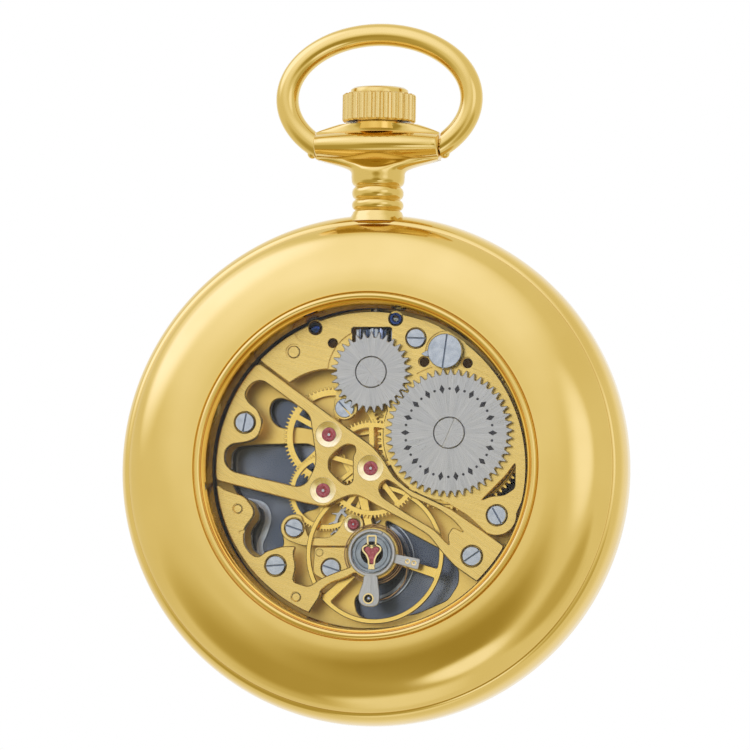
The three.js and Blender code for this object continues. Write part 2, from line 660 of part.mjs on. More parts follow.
function balanceWheel() {
  const arms = windows(3, 0.75, 6.15, 0.6, -17).map((points) => extrude(points, 0, 3));
  const rim = cut(disc([0, 0], 6.8, 1.4, 1.75, 32), ...arms);
  const roller = join(disc([0, 0], 0.7, 0.4, 0.6, 12), disc([0.5, 0.03], 0.1, 0, 0.5, 6));
  return join(rim, roller, arbor(0.24, -1.1, 2.9), disc([0, 0], 0.45, 2, 2.35, 12));
}

// ---- click, regulator and shock setting -----------------------------------------------
function click() {
  const body = extrude([
    ...arc(0, 0, 1.35, 250, 80, 8),
    ...arc(0, 0, 1.35, 70, -50, 6),
    [0.6, -1.3], [0.1, -1.62], [-0.25, -1.5],
  ], 3.24, 3.5);
  return cut(body, disc([0, 0], SHANK + GAP, 3, 4, 10));
}

function clickSpring() {
  return extrude([...arc(0, 0, 1.4, 190, 350, 10), ...arc(0, 0, 1.15, 350, 190, 10)], 3.13, 3.2);
}

const ringAbout = (inner, outer, low, high) => tube([0, 0], inner, outer, low, high, 20);

function regulator() {
  const arm = boxBetween([2.1, -0.46, 3.14], [4.75, 0.46, 3.26], -13);
  const base = ringAbout(1.02, 2.3, 3.14, 3.26);
  const ring = ringAbout(1.02, 1.92, 3.2, 3.5);
  return join(cut(arm, disc([0, 0], 1.6, 3, 4, 16)), base, ring);
}

function studCarrier() {
  const arm = extrude([
    [-0.6, -2.1], [0.6, -2.1], [0.75, -3.2], [1, -4.3], [0.75, -5], [0.2, -5.2], [-0.4, -5.1],
    [-1, -4.6], [-1, -4.2],
  ], 3.38, 3.65);
  const stud = disc([-0.15, -4.55], 0.28, 2.05, 3.7, 10);
  return join(ringAbout(1.98, 2.34, 3.3, 3.65), arm, stud);
}

function hairspring() {
  const coil = spiral(0.75, 2.9, 5, 16, 0.1, 2.1, 2.25);
  const tail = extrude([
    [2.86, -0.02], [2.95, -0.02], [3.3, -1.2], [3, -2.8], [1.6, -4.1], [0.3, -4.5], [0.3, -4.6],
    [1.7, -4.2], [3.1, -2.85],
    [3.42, -1.2], [3.02, 0.05], [2.86, 0.05],
  ], 2.1, 2.25);
  return join(coil, tail);
}

function shockSpring() {
  const lyre = extrude([
    [-0.42, 1.7], [0.42, 1.7], [0.42, 0.7], [0.85, 0.4], [0.75, -0.3], [0.35, -0.9], [0.32, -1.6],
    [-0.32, -1.6],
    [-0.35, -0.9], [-0.75, -0.3], [-0.85, 0.4], [-0.42, 0.7],
  ], 3.56, 3.68);
  return join(lyre, disc([0, 0], 0.85, 2.97, 3.6, 16));
}

// ---- dial side ---------------------------------------------------------------------------
function cannonPinion() {
  return join(
    cut(disc([0, 0], 0.75, -3.6, -1.45, 14), disc([0, 0], 0.5, -2.1, 0, 12)),
    cut(pinion(CANNON_LEAVES, 0.76, 1.02, phase.cannon, -1.8, -1.45), disc([0, 0], 0.6, -3, 0, 12)),
  );
}

function hourWheel() {
  const wheel = pinion(HOUR_TEETH, 2.74, 2.97, phase.hour, -2.08, -1.88);
  const pipe = disc([0, 0], 1.1, -3, -1.9, 16);
  return cut(join(wheel, pipe), disc([0, 0], 0.82, -4, 0, 14));
}

function hand(length, tail, low, high, hub, bore, width) {
  const blade = extrude([
    [0, -tail], [width * 0.6, -tail * 0.6], [width * 0.35, -1], [width * 0.35, 1], [width, length * 0.55],
    [0, length], [-width, length * 0.55], [-width * 0.35, 1], [-width * 0.35, -1],
    [-width * 0.6, -tail * 0.6],
  ], low, high);
  return cut(join(blade, disc([0, 0], hub, low, high)), disc([0, 0], bore, low - 1, high + 1));
}

// ---- assembly ------------------------------------------------------------------------------
const watch = new THREE.Group();

function add(name, body, look, place = [0, 0], turn = 0) {
  const mesh = new THREE.Mesh(geometryOf(body), new THREE.MeshStandardMaterial(look));
  mesh.name = name;
  mesh.position.set(place[0], place[1], 0);
  mesh.rotation.z = THREE.MathUtils.degToRad(turn);
  watch.add(mesh);
}

add('case_band', caseBand(), GOLD);
add('back_cover', backCover(), GOLD);
add('back_window_glass', disc([0, 0], 16.55, 5.15, 5.67, CASE_SIDES), GLASS);
add('front_bezel', frontBezel(), GOLD);
add('front_crystal', frontCrystal(), GLASS);
add('movement_ring', movementRing(), GILT);
add('pendant', pendant(), GOLD);
add('bow', bow(), GOLD);
add('crown', crown(), GOLD);

add('winding_stem', windingStem(), STEEL);
add('winding_pinion', windingPinion(), STEEL);
add('clutch_wheel', clutchWheel(), STEEL);
add('setting_lever', settingLever(), STEEL, LEVER);
add('yoke', yoke(), STEEL, YOKE);
add('setting_wheel', settingWheel(), STEEL, SETTING_WHEEL);
add('minute_wheel', minuteWheel(), GILT, MINUTE_WHEEL);

add('mainplate', mainplate(), GILT);
add('barrel_bridge', barrelBridge(), GILT);
add('train_bridge', trainBridge(), GILT);
add('balance_cock', balanceCock(), GILT);
add('escape_bridge', escapeBridge(), GILT);
add('pallet_bridge', palletBridge(), GILT);

add('mainspring_barrel', mainspringBarrel(), GILT, BARREL);
add('mainspring', spiral(1.6, 6.2, 5, 14, 0.25, 0, 1.2), STEEL, BARREL);
add('barrel_arbor', barrelArbor(), STEEL, BARREL);
add('ratchet_wheel', windingWheel(RATCHET_TEETH, 5.73, 6.25, phase.ratchet), STEEL, BARREL);
add('ratchet_screw', join(slotted(1.5, 3.14, 3.62, 67), disc([0, 0], SHANK, 1.7, 3.3, 10)), STEEL, BARREL);
add('crown_wheel', windingWheel(CROWN_WHEEL_TEETH, 3.44, 3.96, phase.crownWheel), STEEL, CROWN_WHEEL);
const crownWheelShank = disc([0, 0], SHANK, 2.4, 3.3, 10);
add('crown_wheel_screw', join(slotted(1.5, 3.14, 3.62, -51), crownWheelShank), STEEL, CROWN_WHEEL);
add('click', click(), STEEL, CLICK);
add('click_screw', join(slotted(1.7, 3.54, 3.95, 83), disc([0, 0], SHANK, 2.4, 3.6, 10)), STEEL, CLICK);
add('click_spring', clickSpring(), STEEL, CLICK);

add('center_wheel', centreWheel(), GILT, CENTRE);
add('third_wheel', thirdWheel(), GILT, THIRD);
add('fourth_wheel', fourthWheel(), GILT, FOURTH);
add('escape_wheel', escapeWheel(), STEEL, ESCAPE);
add('pallet_fork', palletFork(), STEEL, PALLET, -3.7);
add('balance_wheel', balanceWheel(), GILT, BALANCE);
add('hairspring', hairspring(), STEEL, BALANCE);
add('regulator', regulator(), STEEL, BALANCE);
add('stud_carrier', studCarrier(), STEEL, BALANCE);
add('shock_spring', shockSpring(), GILT, BALANCE);

for (const [name, place, radius, low, high] of [
  ['center_jewel', CENTRE, 0.72, 2.6, 3.02],
  ['third_jewel', THIRD, 0.72, 2.6, 3.02],
  ['fourth_jewel', FOURTH, 0.72, 2.6, 3.02],
  ['escape_jewel', ESCAPE, 0.54, 0.98, 1.3],
]) add(name, tube([0, 0], 0.2, radius, low, high, 10), RUBY, place);

add('cannon_pinion', cannonPinion(), STEEL, CENTRE);
add('hour_wheel', hourWheel(), GILT, CENTRE);
add('dial', tube([0, 0], 1.2, DIAL_RADIUS, DIAL_LOW, DIAL_HIGH, CASE_SIDES), WHITE);
add('hour_hand', hand(9.5, 3, -2.95, -2.8, 1.6, 1.14, 0.75), BLUED, CENTRE, 57);
add('minute_hand', hand(15, 3.6, -3.5, -3.35, 1.25, 0.79, 0.6), BLUED, CENTRE, -52);

for (const [name, [x, y, head, top, foot, slotAngle]] of Object.entries(SCREWS)) {
  const look = head < 0.9 ? BLUED : STEEL;
  const body = join(slotted(head, top - 0.4, top, slotAngle), disc([0, 0], SHANK - 0.02, foot, top - 0.3, 6));
  add(name, body, look, [x, y]);
}

const upright = new THREE.Group();
watch.rotation.x = Math.PI / 2;
watch.position.set(0, STEM_Z, -HOOK_Y);
upright.add(watch);

export default upright;
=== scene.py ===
"""Looks of the open-face pocket watch: polished gold case, gilt movement behind the back window."""
import json
import math

import bmesh
import bpy
from mathutils import Matrix, Vector


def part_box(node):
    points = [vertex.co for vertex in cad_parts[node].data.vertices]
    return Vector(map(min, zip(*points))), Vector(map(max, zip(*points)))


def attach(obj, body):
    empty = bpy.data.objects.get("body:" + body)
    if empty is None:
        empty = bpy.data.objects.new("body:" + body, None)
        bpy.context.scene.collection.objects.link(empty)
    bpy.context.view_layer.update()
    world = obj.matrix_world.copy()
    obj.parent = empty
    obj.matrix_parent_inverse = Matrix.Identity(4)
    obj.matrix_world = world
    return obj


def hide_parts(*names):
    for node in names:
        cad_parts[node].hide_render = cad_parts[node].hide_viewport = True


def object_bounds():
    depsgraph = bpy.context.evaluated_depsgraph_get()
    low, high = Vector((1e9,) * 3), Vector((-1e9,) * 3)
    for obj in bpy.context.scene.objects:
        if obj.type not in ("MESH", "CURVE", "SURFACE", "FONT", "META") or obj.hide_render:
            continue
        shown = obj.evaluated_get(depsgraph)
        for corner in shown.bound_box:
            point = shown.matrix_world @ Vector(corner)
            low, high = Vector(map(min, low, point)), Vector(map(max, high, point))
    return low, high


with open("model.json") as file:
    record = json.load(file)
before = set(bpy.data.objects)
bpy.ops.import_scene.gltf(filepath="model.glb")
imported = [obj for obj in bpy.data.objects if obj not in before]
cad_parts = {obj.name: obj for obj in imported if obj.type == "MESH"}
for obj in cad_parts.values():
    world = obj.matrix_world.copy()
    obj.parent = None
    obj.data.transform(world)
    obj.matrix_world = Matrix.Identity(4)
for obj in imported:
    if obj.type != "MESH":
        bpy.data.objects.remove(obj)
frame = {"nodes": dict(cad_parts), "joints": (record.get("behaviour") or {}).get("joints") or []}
cad_low, cad_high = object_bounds()

# ---- the watch's own axes: x right seen from the back, y to twelve, z out of the back --------
MM = 0.001
band_low, band_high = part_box("case_band")
CASE_CENTRE = (band_low + band_high) / 2
UPRIGHT = Matrix.Translation(CASE_CENTRE) @ Matrix.Rotation(math.pi / 2, 4, "X")
TO_WATCH = UPRIGHT.inverted()


def watch_box(node):
    """Lowest and highest corner of a CAD node in watch axes, in millimetres."""
    corners = [TO_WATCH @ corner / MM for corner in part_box(node)]
    low = Vector(map(min, *corners))
    high = Vector(map(max, *corners))
    return low, high


def arbor(body):
    """Where the movement body turns, x and y in millimetres."""
    joint = next(j for j in frame["joints"] if j["child"] == body)
    place = TO_WATCH @ Vector(joint["pos_m"]) / MM
    return (place.x, place.y)


CENTRE = (0.0, 0.0)
BARREL = arbor("barrel")
CROWN_WHEEL = arbor("crown_gear")
THIRD = arbor("third")
FOURTH = arbor("fourth")
ESCAPE = arbor("escape")
PALLET = arbor("pallet")
BALANCE = arbor("balance")
CLICK = arbor("click_pawl")
STEM_Z = watch_box("winding_stem")[0].z + 0.8

# levels in millimetres, along the watch's z
BRIDGE = (2.3, 3.1)
COCK = (2.45, 3.1)
LOW_BRIDGE = (0.95, 1.3)
PLATE = (-1.3, -0.3)
BRIDGE_RADIUS = 15.3
PLATE_RADIUS = 15.9
RECESS_FLOOR = 2.88


# ---- finishes: every one is noise laid out in millimetres -------------------------------------
class Finish:
    """A node material with helpers that return sockets."""

    def __init__(self, name, metallic=1.0, roughness=0.3, **uniform):
        self.material = bpy.data.materials.new(name)
        self.material.use_nodes = True
        self.tree = self.material.node_tree
        self.surface = self.tree.nodes["Principled BSDF"]
        self.surface.inputs["Metallic"].default_value = metallic
        self.surface.inputs["Roughness"].default_value = roughness
        for socket, value in uniform.items():
            self.surface.inputs[socket.replace("_", " ")].default_value = value
        place = self.node("ShaderNodeTexCoord").outputs["Object"]
        self.place = self.vector_math("SCALE", place, scale=1 / MM)

    def node(self, kind, **settings):
        made = self.tree.nodes.new(kind)
        for name, value in settings.items():
            setattr(made, name, value)
        return made

    def link(self, source, target):
        self.tree.links.new(source, target)

    def vector_math(self, operation, first, scale=1.0):
        made = self.node("ShaderNodeVectorMath", operation=operation)
        self.link(first, made.inputs[0])
        made.inputs["Scale"].default_value = scale
        return made.outputs[0]

    def math(self, operation, first, second=0.0, third=0.0):
        made = self.node("ShaderNodeMath", operation=operation)
        for i, value in enumerate((first, second, third)):
            if isinstance(value, (int, float)):
                made.inputs[i].default_value = value
            else:
                self.link(value, made.inputs[i])
        return made.outputs[0]

    def polar(self, around=1.0, outward=1.0):
        """(turn, radius) about the piece's own axis, each stretched."""
        parts = self.node("ShaderNodeSeparateXYZ")
        self.link(self.place, parts.inputs[0])
        x, y, _ = parts.outputs
        turn = self.math("ARCTAN2", y, x)
        radius = self.math("SQRT", self.math("MULTIPLY_ADD", x, x, self.math("MULTIPLY", y, y)))
        joined = self.node("ShaderNodeCombineXYZ")
        self.link(self.math("MULTIPLY", turn, around), joined.inputs[0])
        self.link(self.math("MULTIPLY", radius, outward), joined.inputs[1])
        return joined.outputs[0]

    def noise(self, size=1.0, stretch=(1, 1, 1), turn=0.0, detail=3.0, vector=None):
        """Noise with grains of the given size in millimetres, stretched along the axes."""
        layout = self.node("ShaderNodeMapping", vector_type="TEXTURE")
        layout.inputs["Rotation"].default_value = (0, 0, math.radians(turn))
        layout.inputs["Scale"].default_value = [size * s for s in stretch]
        self.link(vector or self.place, layout.inputs["Vector"])
        made = self.node("ShaderNodeTexNoise")
        made.inputs["Scale"].default_value = 1.0
        made.inputs["Detail"].default_value = detail
        self.link(layout.outputs[0], made.inputs["Vector"])
        return made.outputs[0]

    def spread(self, value, low, high, start=0.3, end=0.7):
        made = self.node("ShaderNodeMapRange")
        for name, number in (("From Min", start), ("From Max", end), ("To Min", low), ("To Max", high)):
            made.inputs[name].default_value = number
        self.link(value, made.inputs["Value"])
        return made.outputs[0]

    def ramp(self, value, *stops):
        made = self.node("ShaderNodeValToRGB")
        elements = made.color_ramp.elements
        while len(elements) < len(stops):
            elements.new(0.5)
        for element, (position, colour) in zip(elements, stops):
            element.position = position
            element.color = (*colour, 1)
        self.link(value, made.inputs[0])
        return made.outputs[0]

    def blend(self, share, first, second):
        made = self.node("ShaderNodeMix", data_type="RGBA", blend_type="MULTIPLY")
        made.inputs[0].default_value = share
        self.link(first, made.inputs[6])
        self.link(second, made.inputs[7])
        return made.outputs[2]

    def paint(self, colour, roughness=None, height=None, relief=0.1, depth=0.01):
        self.link(colour, self.surface.inputs["Base Color"])
        if roughness is not None:
            self.link(roughness, self.surface.inputs["Roughness"])
        if height is not None:
            bump = self.node("ShaderNodeBump")
            bump.inputs["Strength"].default_value = relief
            bump.inputs["Distance"].default_value = depth * MM
            self.link(height, bump.inputs["Height"])
            self.link(bump.outputs[0], self.surface.inputs["Normal"])
        return self.material


def grey(value):
    return (value, value, value)


def polished_gold(name, deep=(0.76, 0.555, 0.18), pale=(0.80, 0.595, 0.21)):
    look = Finish(name)
    cloud = look.noise(size=7, detail=2)
    hairlines = look.noise(size=0.05, stretch=(1, 60, 60), turn=35, detail=2)
    tone = look.ramp(cloud, (0.3, deep), (0.7, pale))
    handling = look.noise(size=2.5, detail=5)
    rough = look.spread(handling, 0.07, 0.14)
    return look.paint(tone, rough, hairlines, relief=0.03, depth=0.002)


def satin_gold(name):
    look = Finish(name)
    lines = look.noise(size=0.08, stretch=(1, 1, 40), detail=3)
    tone = look.ramp(lines, (0.3, (0.76, 0.56, 0.20)), (0.7, (0.86, 0.67, 0.30)))
    return look.paint(tone, look.spread(lines, 0.2, 0.34), lines, relief=0.12, depth=0.01)


def brushed_gilt(name, turn, deep=(0.76, 0.54, 0.15), pale=(0.96, 0.74, 0.28), rough=(0.22, 0.34)):
    look = Finish(name)
    brush = look.noise(size=0.05, stretch=(70, 1, 1), turn=turn, detail=3)
    wide = look.noise(size=0.3, stretch=(30, 1, 1), turn=turn, detail=2)
    cloud = look.noise(size=4, detail=3)
    tone = look.ramp(brush, (0.25, deep), (0.75, pale))
    tone = look.blend(0.35, tone, look.ramp(wide, (0.3, grey(0.72)), (0.7, grey(1.0))))
    tone = look.blend(0.3, tone, look.ramp(cloud, (0.3, (0.86, 0.80, 0.66)), (0.7, grey(1.0))))
    return look.paint(tone, look.spread(brush, *rough), brush, relief=0.1, depth=0.01)


def frosted_gilt(name):
    look = Finish(name)
    grain = look.noise(size=0.07, detail=4)
    cloud = look.noise(size=3, detail=3)
    tone = look.ramp(grain, (0.25, (0.82, 0.57, 0.14)), (0.75, (0.98, 0.74, 0.25)))
    tone = look.blend(0.3, tone, look.ramp(cloud, (0.3, (0.86, 0.78, 0.62)), (0.7, grey(1.0))))
    return look.paint(tone, look.spread(grain, 0.28, 0.38), grain, relief=0.12, depth=0.01)


def turned_gilt(name, deep=(0.84, 0.58, 0.13), pale=(0.99, 0.75, 0.24)):
    look = Finish(name)
    rings = look.noise(size=0.05, stretch=(60, 1, 1), vector=look.polar(around=2.0), detail=3)
    cloud = look.noise(size=1.5, detail=2)
    tone = look.ramp(rings, (0.25, deep), (0.75, pale))
    tone = look.blend(0.25, tone, look.ramp(cloud, (0.3, (0.82, 0.74, 0.58)), (0.7, grey(1.0))))
    return look.paint(tone, look.spread(rings, 0.16, 0.26), rings, relief=0.08, depth=0.006)


def cup_gold(name):
    look = Finish(name)
    rings = look.noise(size=0.04, stretch=(60, 1, 1), vector=look.polar(around=2.0), detail=2)
    tone = look.ramp(rings, (0.3, (0.90, 0.72, 0.36)), (0.7, (0.98, 0.84, 0.52)))
    return look.paint(tone, look.spread(rings, 0.16, 0.22), rings, relief=0.03, depth=0.003)


def sunray_steel(name, deep=(0.44, 0.445, 0.455), pale=(0.635, 0.64, 0.65)):
    look = Finish(name)
    rays = look.noise(size=0.045, stretch=(1, 45, 1), vector=look.polar(around=2.4), detail=3)
    broad = look.noise(size=0.3, stretch=(1, 30, 1), vector=look.polar(around=2.4), detail=3)
    tone = look.ramp(rays, (0.25, deep), (0.75, pale))
    tone = look.blend(0.6, tone, look.ramp(broad, (0.3, (0.74, 0.76, 0.80)), (0.7, grey(1.0))))
    return look.paint(tone, look.spread(rays, 0.26, 0.38), rays, relief=0.1, depth=0.006)


def polished_steel(name, deep=(0.40, 0.45, 0.54), pale=(0.54, 0.59, 0.68), rough=(0.16, 0.26)):
    look = Finish(name)
    brush = look.noise(size=0.04, stretch=(25, 1, 1), turn=20, detail=2)
    cloud = look.noise(size=0.8, detail=2)
    tone = look.ramp(cloud, (0.3, deep), (0.7, pale))
    return look.paint(tone, look.spread(brush, *rough), brush, relief=0.05, depth=0.004)


def dark_metal(name, deep, pale, rough=(0.25, 0.4)):
    look = Finish(name)
    cloud = look.noise(size=0.6, detail=4)
    tone = look.ramp(cloud, (0.3, deep), (0.7, pale))
    return look.paint(tone, look.spread(cloud, *rough), cloud, relief=0.05, depth=0.01)


def ruby(name, deep=(0.24, 0.018, 0.028), pale=(0.40, 0.055, 0.065)):
    look = Finish(name, metallic=0.0, IOR=1.6, Coat_Weight=0.15, Coat_Roughness=0.1)
    cloud = look.noise(size=0.35, detail=3)
    tone = look.ramp(cloud, (0.3, deep), (0.7, pale))
    return look.paint(tone, look.spread(cloud, 0.2, 0.32), cloud, relief=0.04, depth=0.01)


def glass(name):
    """A clear pane: light goes straight through, and a weak reflection lies on it."""
    look = Finish(name, metallic=0.0)
    tree = look.tree
    film = look.node("ShaderNodeBsdfGlossy")
    film.inputs["Roughness"].default_value = 0.03
    smears = look.noise(size=6, detail=4)
    look.link(look.ramp(smears, (0.3, grey(0.9)), (0.7, grey(1.0))), film.inputs["Color"])
    clear = look.node("ShaderNodeBsdfTransparent")
    edge = look.node("ShaderNodeFresnel")
    edge.inputs["IOR"].default_value = 1.25
    mixed = look.node("ShaderNodeMixShader")
    look.link(edge.outputs[0], mixed.inputs[0])
    look.link(clear.outputs[0], mixed.inputs[1])
    look.link(film.outputs[0], mixed.inputs[2])
    look.link(mixed.outputs[0], tree.nodes["Material Output"].inputs["Surface"])
    tree.nodes.remove(look.surface)
    return look.material


def enamel(name, deep=(0.80, 0.77, 0.68), pale=(0.88, 0.86, 0.79)):
    look = Finish(name, metallic=0.0, Coat_Weight=0.3)
    cloud = look.noise(size=5, detail=4)
    grain = look.noise(size=0.12, detail=3)
    tone = look.ramp(cloud, (0.3, deep), (0.7, pale))
    return look.paint(tone, look.spread(grain, 0.28, 0.4), grain, relief=0.04, depth=0.01)


def ink(name):
    look = Finish(name, metallic=0.0)
    grain = look.noise(size=0.2, detail=3)
    tone = look.ramp(grain, (0.3, (0.008, 0.008, 0.012)), (0.7, (0.02, 0.02, 0.028)))
    return look.paint(tone, look.spread(grain, 0.35, 0.5), grain, relief=0.05, depth=0.005)


def dial_back(name):
    """The back of the dial, seen through the openings of the plate, painted dull blue-grey with soft
    lighter clouds as painted shade and blurred reflection.
    """
    look = Finish(name)
    cloud = look.noise(size=5, detail=1)
    fine = look.noise(size=1.2, detail=2)
    # dark blue-grey and soft lighter clouds: painted shade and blurred reflection seen through the
    # openings
    tone = look.ramp(cloud, (0.35, (0.085, 0.105, 0.15)), (0.55, (0.14, 0.16, 0.21)),
                     (0.72, (0.25, 0.28, 0.34)))
    return look.paint(tone, look.spread(fine, 0.2, 0.26), fine, relief=0.02, depth=0.01)


GOLD = polished_gold("polished_gold")
CROWN_GOLD = satin_gold("satin_gold")
LIP_GOLD = polished_gold("lip_gold", deep=(0.74, 0.44, 0.085), pale=(0.85, 0.56, 0.14))
GILT = brushed_gilt("brushed_gilt", turn=-36)
GILT_ACROSS = brushed_gilt("brushed_gilt_across", turn=-14)
GILT_LOW = frosted_gilt("frosted_gilt")
# painted shade: a darker, browner gilt for the upright walls of the bridges and plates, standing in for
# the shade on them
GILT_WALL_SHADE = dark_metal("gilt_wall_painted_shade", (0.34, 0.19, 0.03), (0.62, 0.38, 0.08), rough=(0.2, 0.3))
GILT_WHEEL = turned_gilt("turned_gilt")
WALL_GOLD = turned_gilt("wall_gold", deep=(0.78, 0.50, 0.11), pale=(0.97, 0.70, 0.22))
SHADE_WALLED_FINISHES = (GILT, GILT_ACROSS, GILT_LOW)
BRIGHT_GILT = turned_gilt("bright_gilt", deep=(0.88, 0.68, 0.30), pale=(1.0, 0.84, 0.48))
CUP = cup_gold("jewel_cup")
STEEL = sunray_steel("sunray_steel")
SCREW_STEEL = polished_steel("polished_steel")
PLAIN_STEEL = polished_steel("plain_steel", deep=(0.36, 0.38, 0.42), pale=(0.56, 0.57, 0.60))
# painted shadow: the dark blue-grey sheet laid on a screw slot's floor
SLOT_PAINTED_SHADOW = dark_metal("slot_shadow", (0.09, 0.12, 0.18), (0.2, 0.24, 0.32))
PALE_SLOT = dark_metal("pale_slot", (0.42, 0.42, 0.43), (0.6, 0.6, 0.6))
GREY_STEEL = polished_steel("grey_steel", deep=(0.22, 0.26, 0.31), pale=(0.34, 0.38, 0.43))
BLUED = dark_metal("blued_steel", (0.012, 0.03, 0.13), (0.03, 0.075, 0.27), rough=(0.14, 0.26))
# painted shade: near-black for gaps and wells where shade falls
GAP_PAINTED_SHADE = dark_metal("black_gap_painted_shade", (0.006, 0.005, 0.004), (0.02, 0.016, 0.01), rough=(0.5, 0.7))
# painted shade: dark brown for the floors of holes and recesses
HOLE_PAINTED_SHADE = dark_metal("brown_hole_painted_shade", (0.035, 0.016, 0.004), (0.10, 0.05, 0.012), rough=(0.4, 0.6))
SPRING = dark_metal("hairspring_steel", (0.20, 0.10, 0.04), (0.42, 0.26, 0.12))
RUBY = ruby("ruby")
GLASS = glass("crystal")
ENAMEL = enamel("dial_enamel")
INK = ink("dial_ink")
DIAL_BACK = dial_back("dial_back")


# ---- outlines ------------------------------------------------------------------------------------
def polar_point(x, y, radius, degrees):
    angle = math.radians(degrees)
    return (x + radius * math.cos(angle), y + radius * math.sin(angle))


def arc(place, radius, start, end, steps=24):
    return [polar_point(*place, radius, start + (end - start) * i / steps) for i in range(steps + 1)]


def circle(place, radius, sides=64):
    return [polar_point(*place, radius, 360 * i / sides) for i in range(sides)]


def softened(points, reach=0.4):
    """The outline with every real corner turned into a short curve."""
    result = []
    for i, point in enumerate(points):
        corner = Vector(point)
        before = Vector(points[i - 1]) - corner
        after = Vector(points[(i + 1) % len(points)]) - corner
        if before.length < 1e-5 or after.length < 1e-5:
            continue
        turn = math.pi - before.angle(after)
        if turn < math.radians(9):
            result.append(tuple(corner))
            continue
        cut = min(reach, before.length / 2.02, after.length / 2.02)
        start = corner + before.normalized() * cut
        end = corner + after.normalized() * cut
        steps = max(2, round(turn / math.radians(9)))
        for j in range(steps + 1):
            t = j / steps
            spot = start * (1 - t) ** 2 + corner * 2 * t * (1 - t) + end * t * t
            result.append(tuple(spot))
    return result


def gear(teeth, root, tip, phase=0.0, place=(0, 0), pointed=False):
    """Toothed outline, six points a tooth, with blunt or pointed teeth."""
    flank = root + (tip - root) * 0.62
    profile = [(-0.27, root), (-0.2, flank), (-0.09, tip), (0.09, tip), (0.2, flank), (0.27, root)]
    if pointed:
        flank = root + (tip - root) * 0.5
        profile = [(-0.36, root), (-0.2, flank), (-0.08, tip), (0.08, tip), (0.2, flank), (0.36, root)]
    points = []
    for i in range(teeth):
        for step, radius in profile:
            points.append(polar_point(*place, radius, phase + (i + step) * 360 / teeth))
    return points


def mesh_phase(leader, follower, leader_teeth, leader_phase, teeth):
    """The follower's tooth phase, in degrees, that puts its gap opposite the leader's tooth."""
    line = math.degrees(math.atan2(follower[1] - leader[1], follower[0] - leader[0]))
    return line + 180 - (leader_phase - line) * leader_teeth / teeth + 180 / teeth


def crossings(count, inner, outer, width, turn, corner=0.25):
    """The windows between a wheel's spokes."""
    openings = []
    for i in range(count):
        start = turn + i * 360 / count
        end = start + 360 / count
        wide = math.degrees(width / 2 / outer)
        narrow = math.degrees(width / 2 / inner)
        rim = arc((0, 0), outer, start + wide, end - wide, 20)
        hub = arc((0, 0), inner, end - narrow, start + narrow, 6)
        openings.append(softened(rim + hub, corner))
    return openings


# ---- solids, in millimetres --------------------------------------------------------------------
def raw_mesh(points, faces):
    mesh = bpy.data.meshes.new("part")
    mesh.from_pydata(points, [], faces)
    return tidy(mesh)


def tidy(mesh):
    work = bmesh.new()
    work.from_mesh(mesh)
    bmesh.ops.remove_doubles(work, verts=work.verts, dist=2e-4)
    bmesh.ops.dissolve_degenerate(work, edges=work.edges, dist=1e-5)
    bmesh.ops.recalc_face_normals(work, faces=work.faces)
    work.to_mesh(mesh)
    work.free()
    return mesh


def revolved(profile, sides=128, closed=False):
    """A body of revolution about z, from (radius, z) points."""
    points = [(r * math.cos(a), r * math.sin(a), z)
              for a in (2 * math.pi * i / sides for i in range(sides)) for r, z in profile]
    count = len(profile)
    faces = []
    for i in range(sides):
        here, there = i * count, (i + 1) % sides * count
        for j in range(count if closed else count - 1):
            k = (j + 1) % count
            faces.append((here + j, there + j, there + k, here + k))
    return raw_mesh(points, faces)


def curve_mesh(curve):
    holder = bpy.data.objects.new("curve", curve)
    bpy.context.scene.collection.objects.link(holder)
    bpy.context.view_layer.update()
    mesh = bpy.data.meshes.new_from_object(holder.evaluated_get(bpy.context.evaluated_depsgraph_get()))
    bpy.data.objects.remove(holder)
    bpy.data.curves.remove(curve)
    return mesh


def slab(outline, low, high, holes=(), bevel=0.05):
    """A flat piece with chamfered edges."""
    curve = bpy.data.curves.new("slab", "CURVE")
    curve.dimensions = "2D"
    curve.fill_mode = "BOTH"
    curve.extrude = (high - low) / 2 - bevel
    curve.bevel_depth = bevel
    curve.bevel_resolution = 0
    curve.offset = -bevel
    for points in (outline, *holes):
        spline = curve.splines.new("POLY")
        spline.points.add(len(points) - 1)
        spline.points.foreach_set("co", [c for x, y in points for c in (x, y, 0, 1)])
        spline.use_cyclic_u = True
    mesh = curve_mesh(curve)
    mesh.transform(Matrix.Translation((0, 0, (low + high) / 2)))
    return tidy(mesh)


def swept(path, section, closed=False):
    """A section of (side, up) points carried along a path of vectors; up is nearest to z."""
    count = len(section)
    points = []
    for i, spot in enumerate(path):
        ahead = path[(i + 1) % len(path)] if closed or i + 1 < len(path) else spot
        behind = path[i - 1] if closed or i > 0 else spot
        along = (Vector(ahead) - Vector(behind)).normalized()
        side = along.cross(Vector((0, 0, 1))).normalized()
        up = side.cross(along)
        points += [Vector(spot) + side * a + up * b for a, b in section]
    faces = []
    for i in range(len(path) if closed else len(path) - 1):
        here, there = i * count, (i + 1) % len(path) * count
        for j in range(count):
            k = (j + 1) % count
            faces.append((here + j, there + j, there + k, here + k))
    if not closed:
        faces.append(tuple(range(count)))
        faces.append(tuple(range(len(points) - count, len(points))))
    return raw_mesh([tuple(p) for p in points], faces)


def round_section(radius, sides=16):
    return circle((0, 0), radius, sides)


def ball(place, radius, rings=16):
    profile = [(radius * math.sin(math.pi * i / rings), -radius * math.cos(math.pi * i / rings))
               for i in range(rings + 1)]
    return moved(revolved(profile, 32), *place)


def moved(mesh, x=0.0, y=0.0, z=0.0, turn=0.0):
    mesh.transform(Matrix.Translation((x, y, z)) @ Matrix.Rotation(math.radians(turn), 4, "Z"))
    return mesh


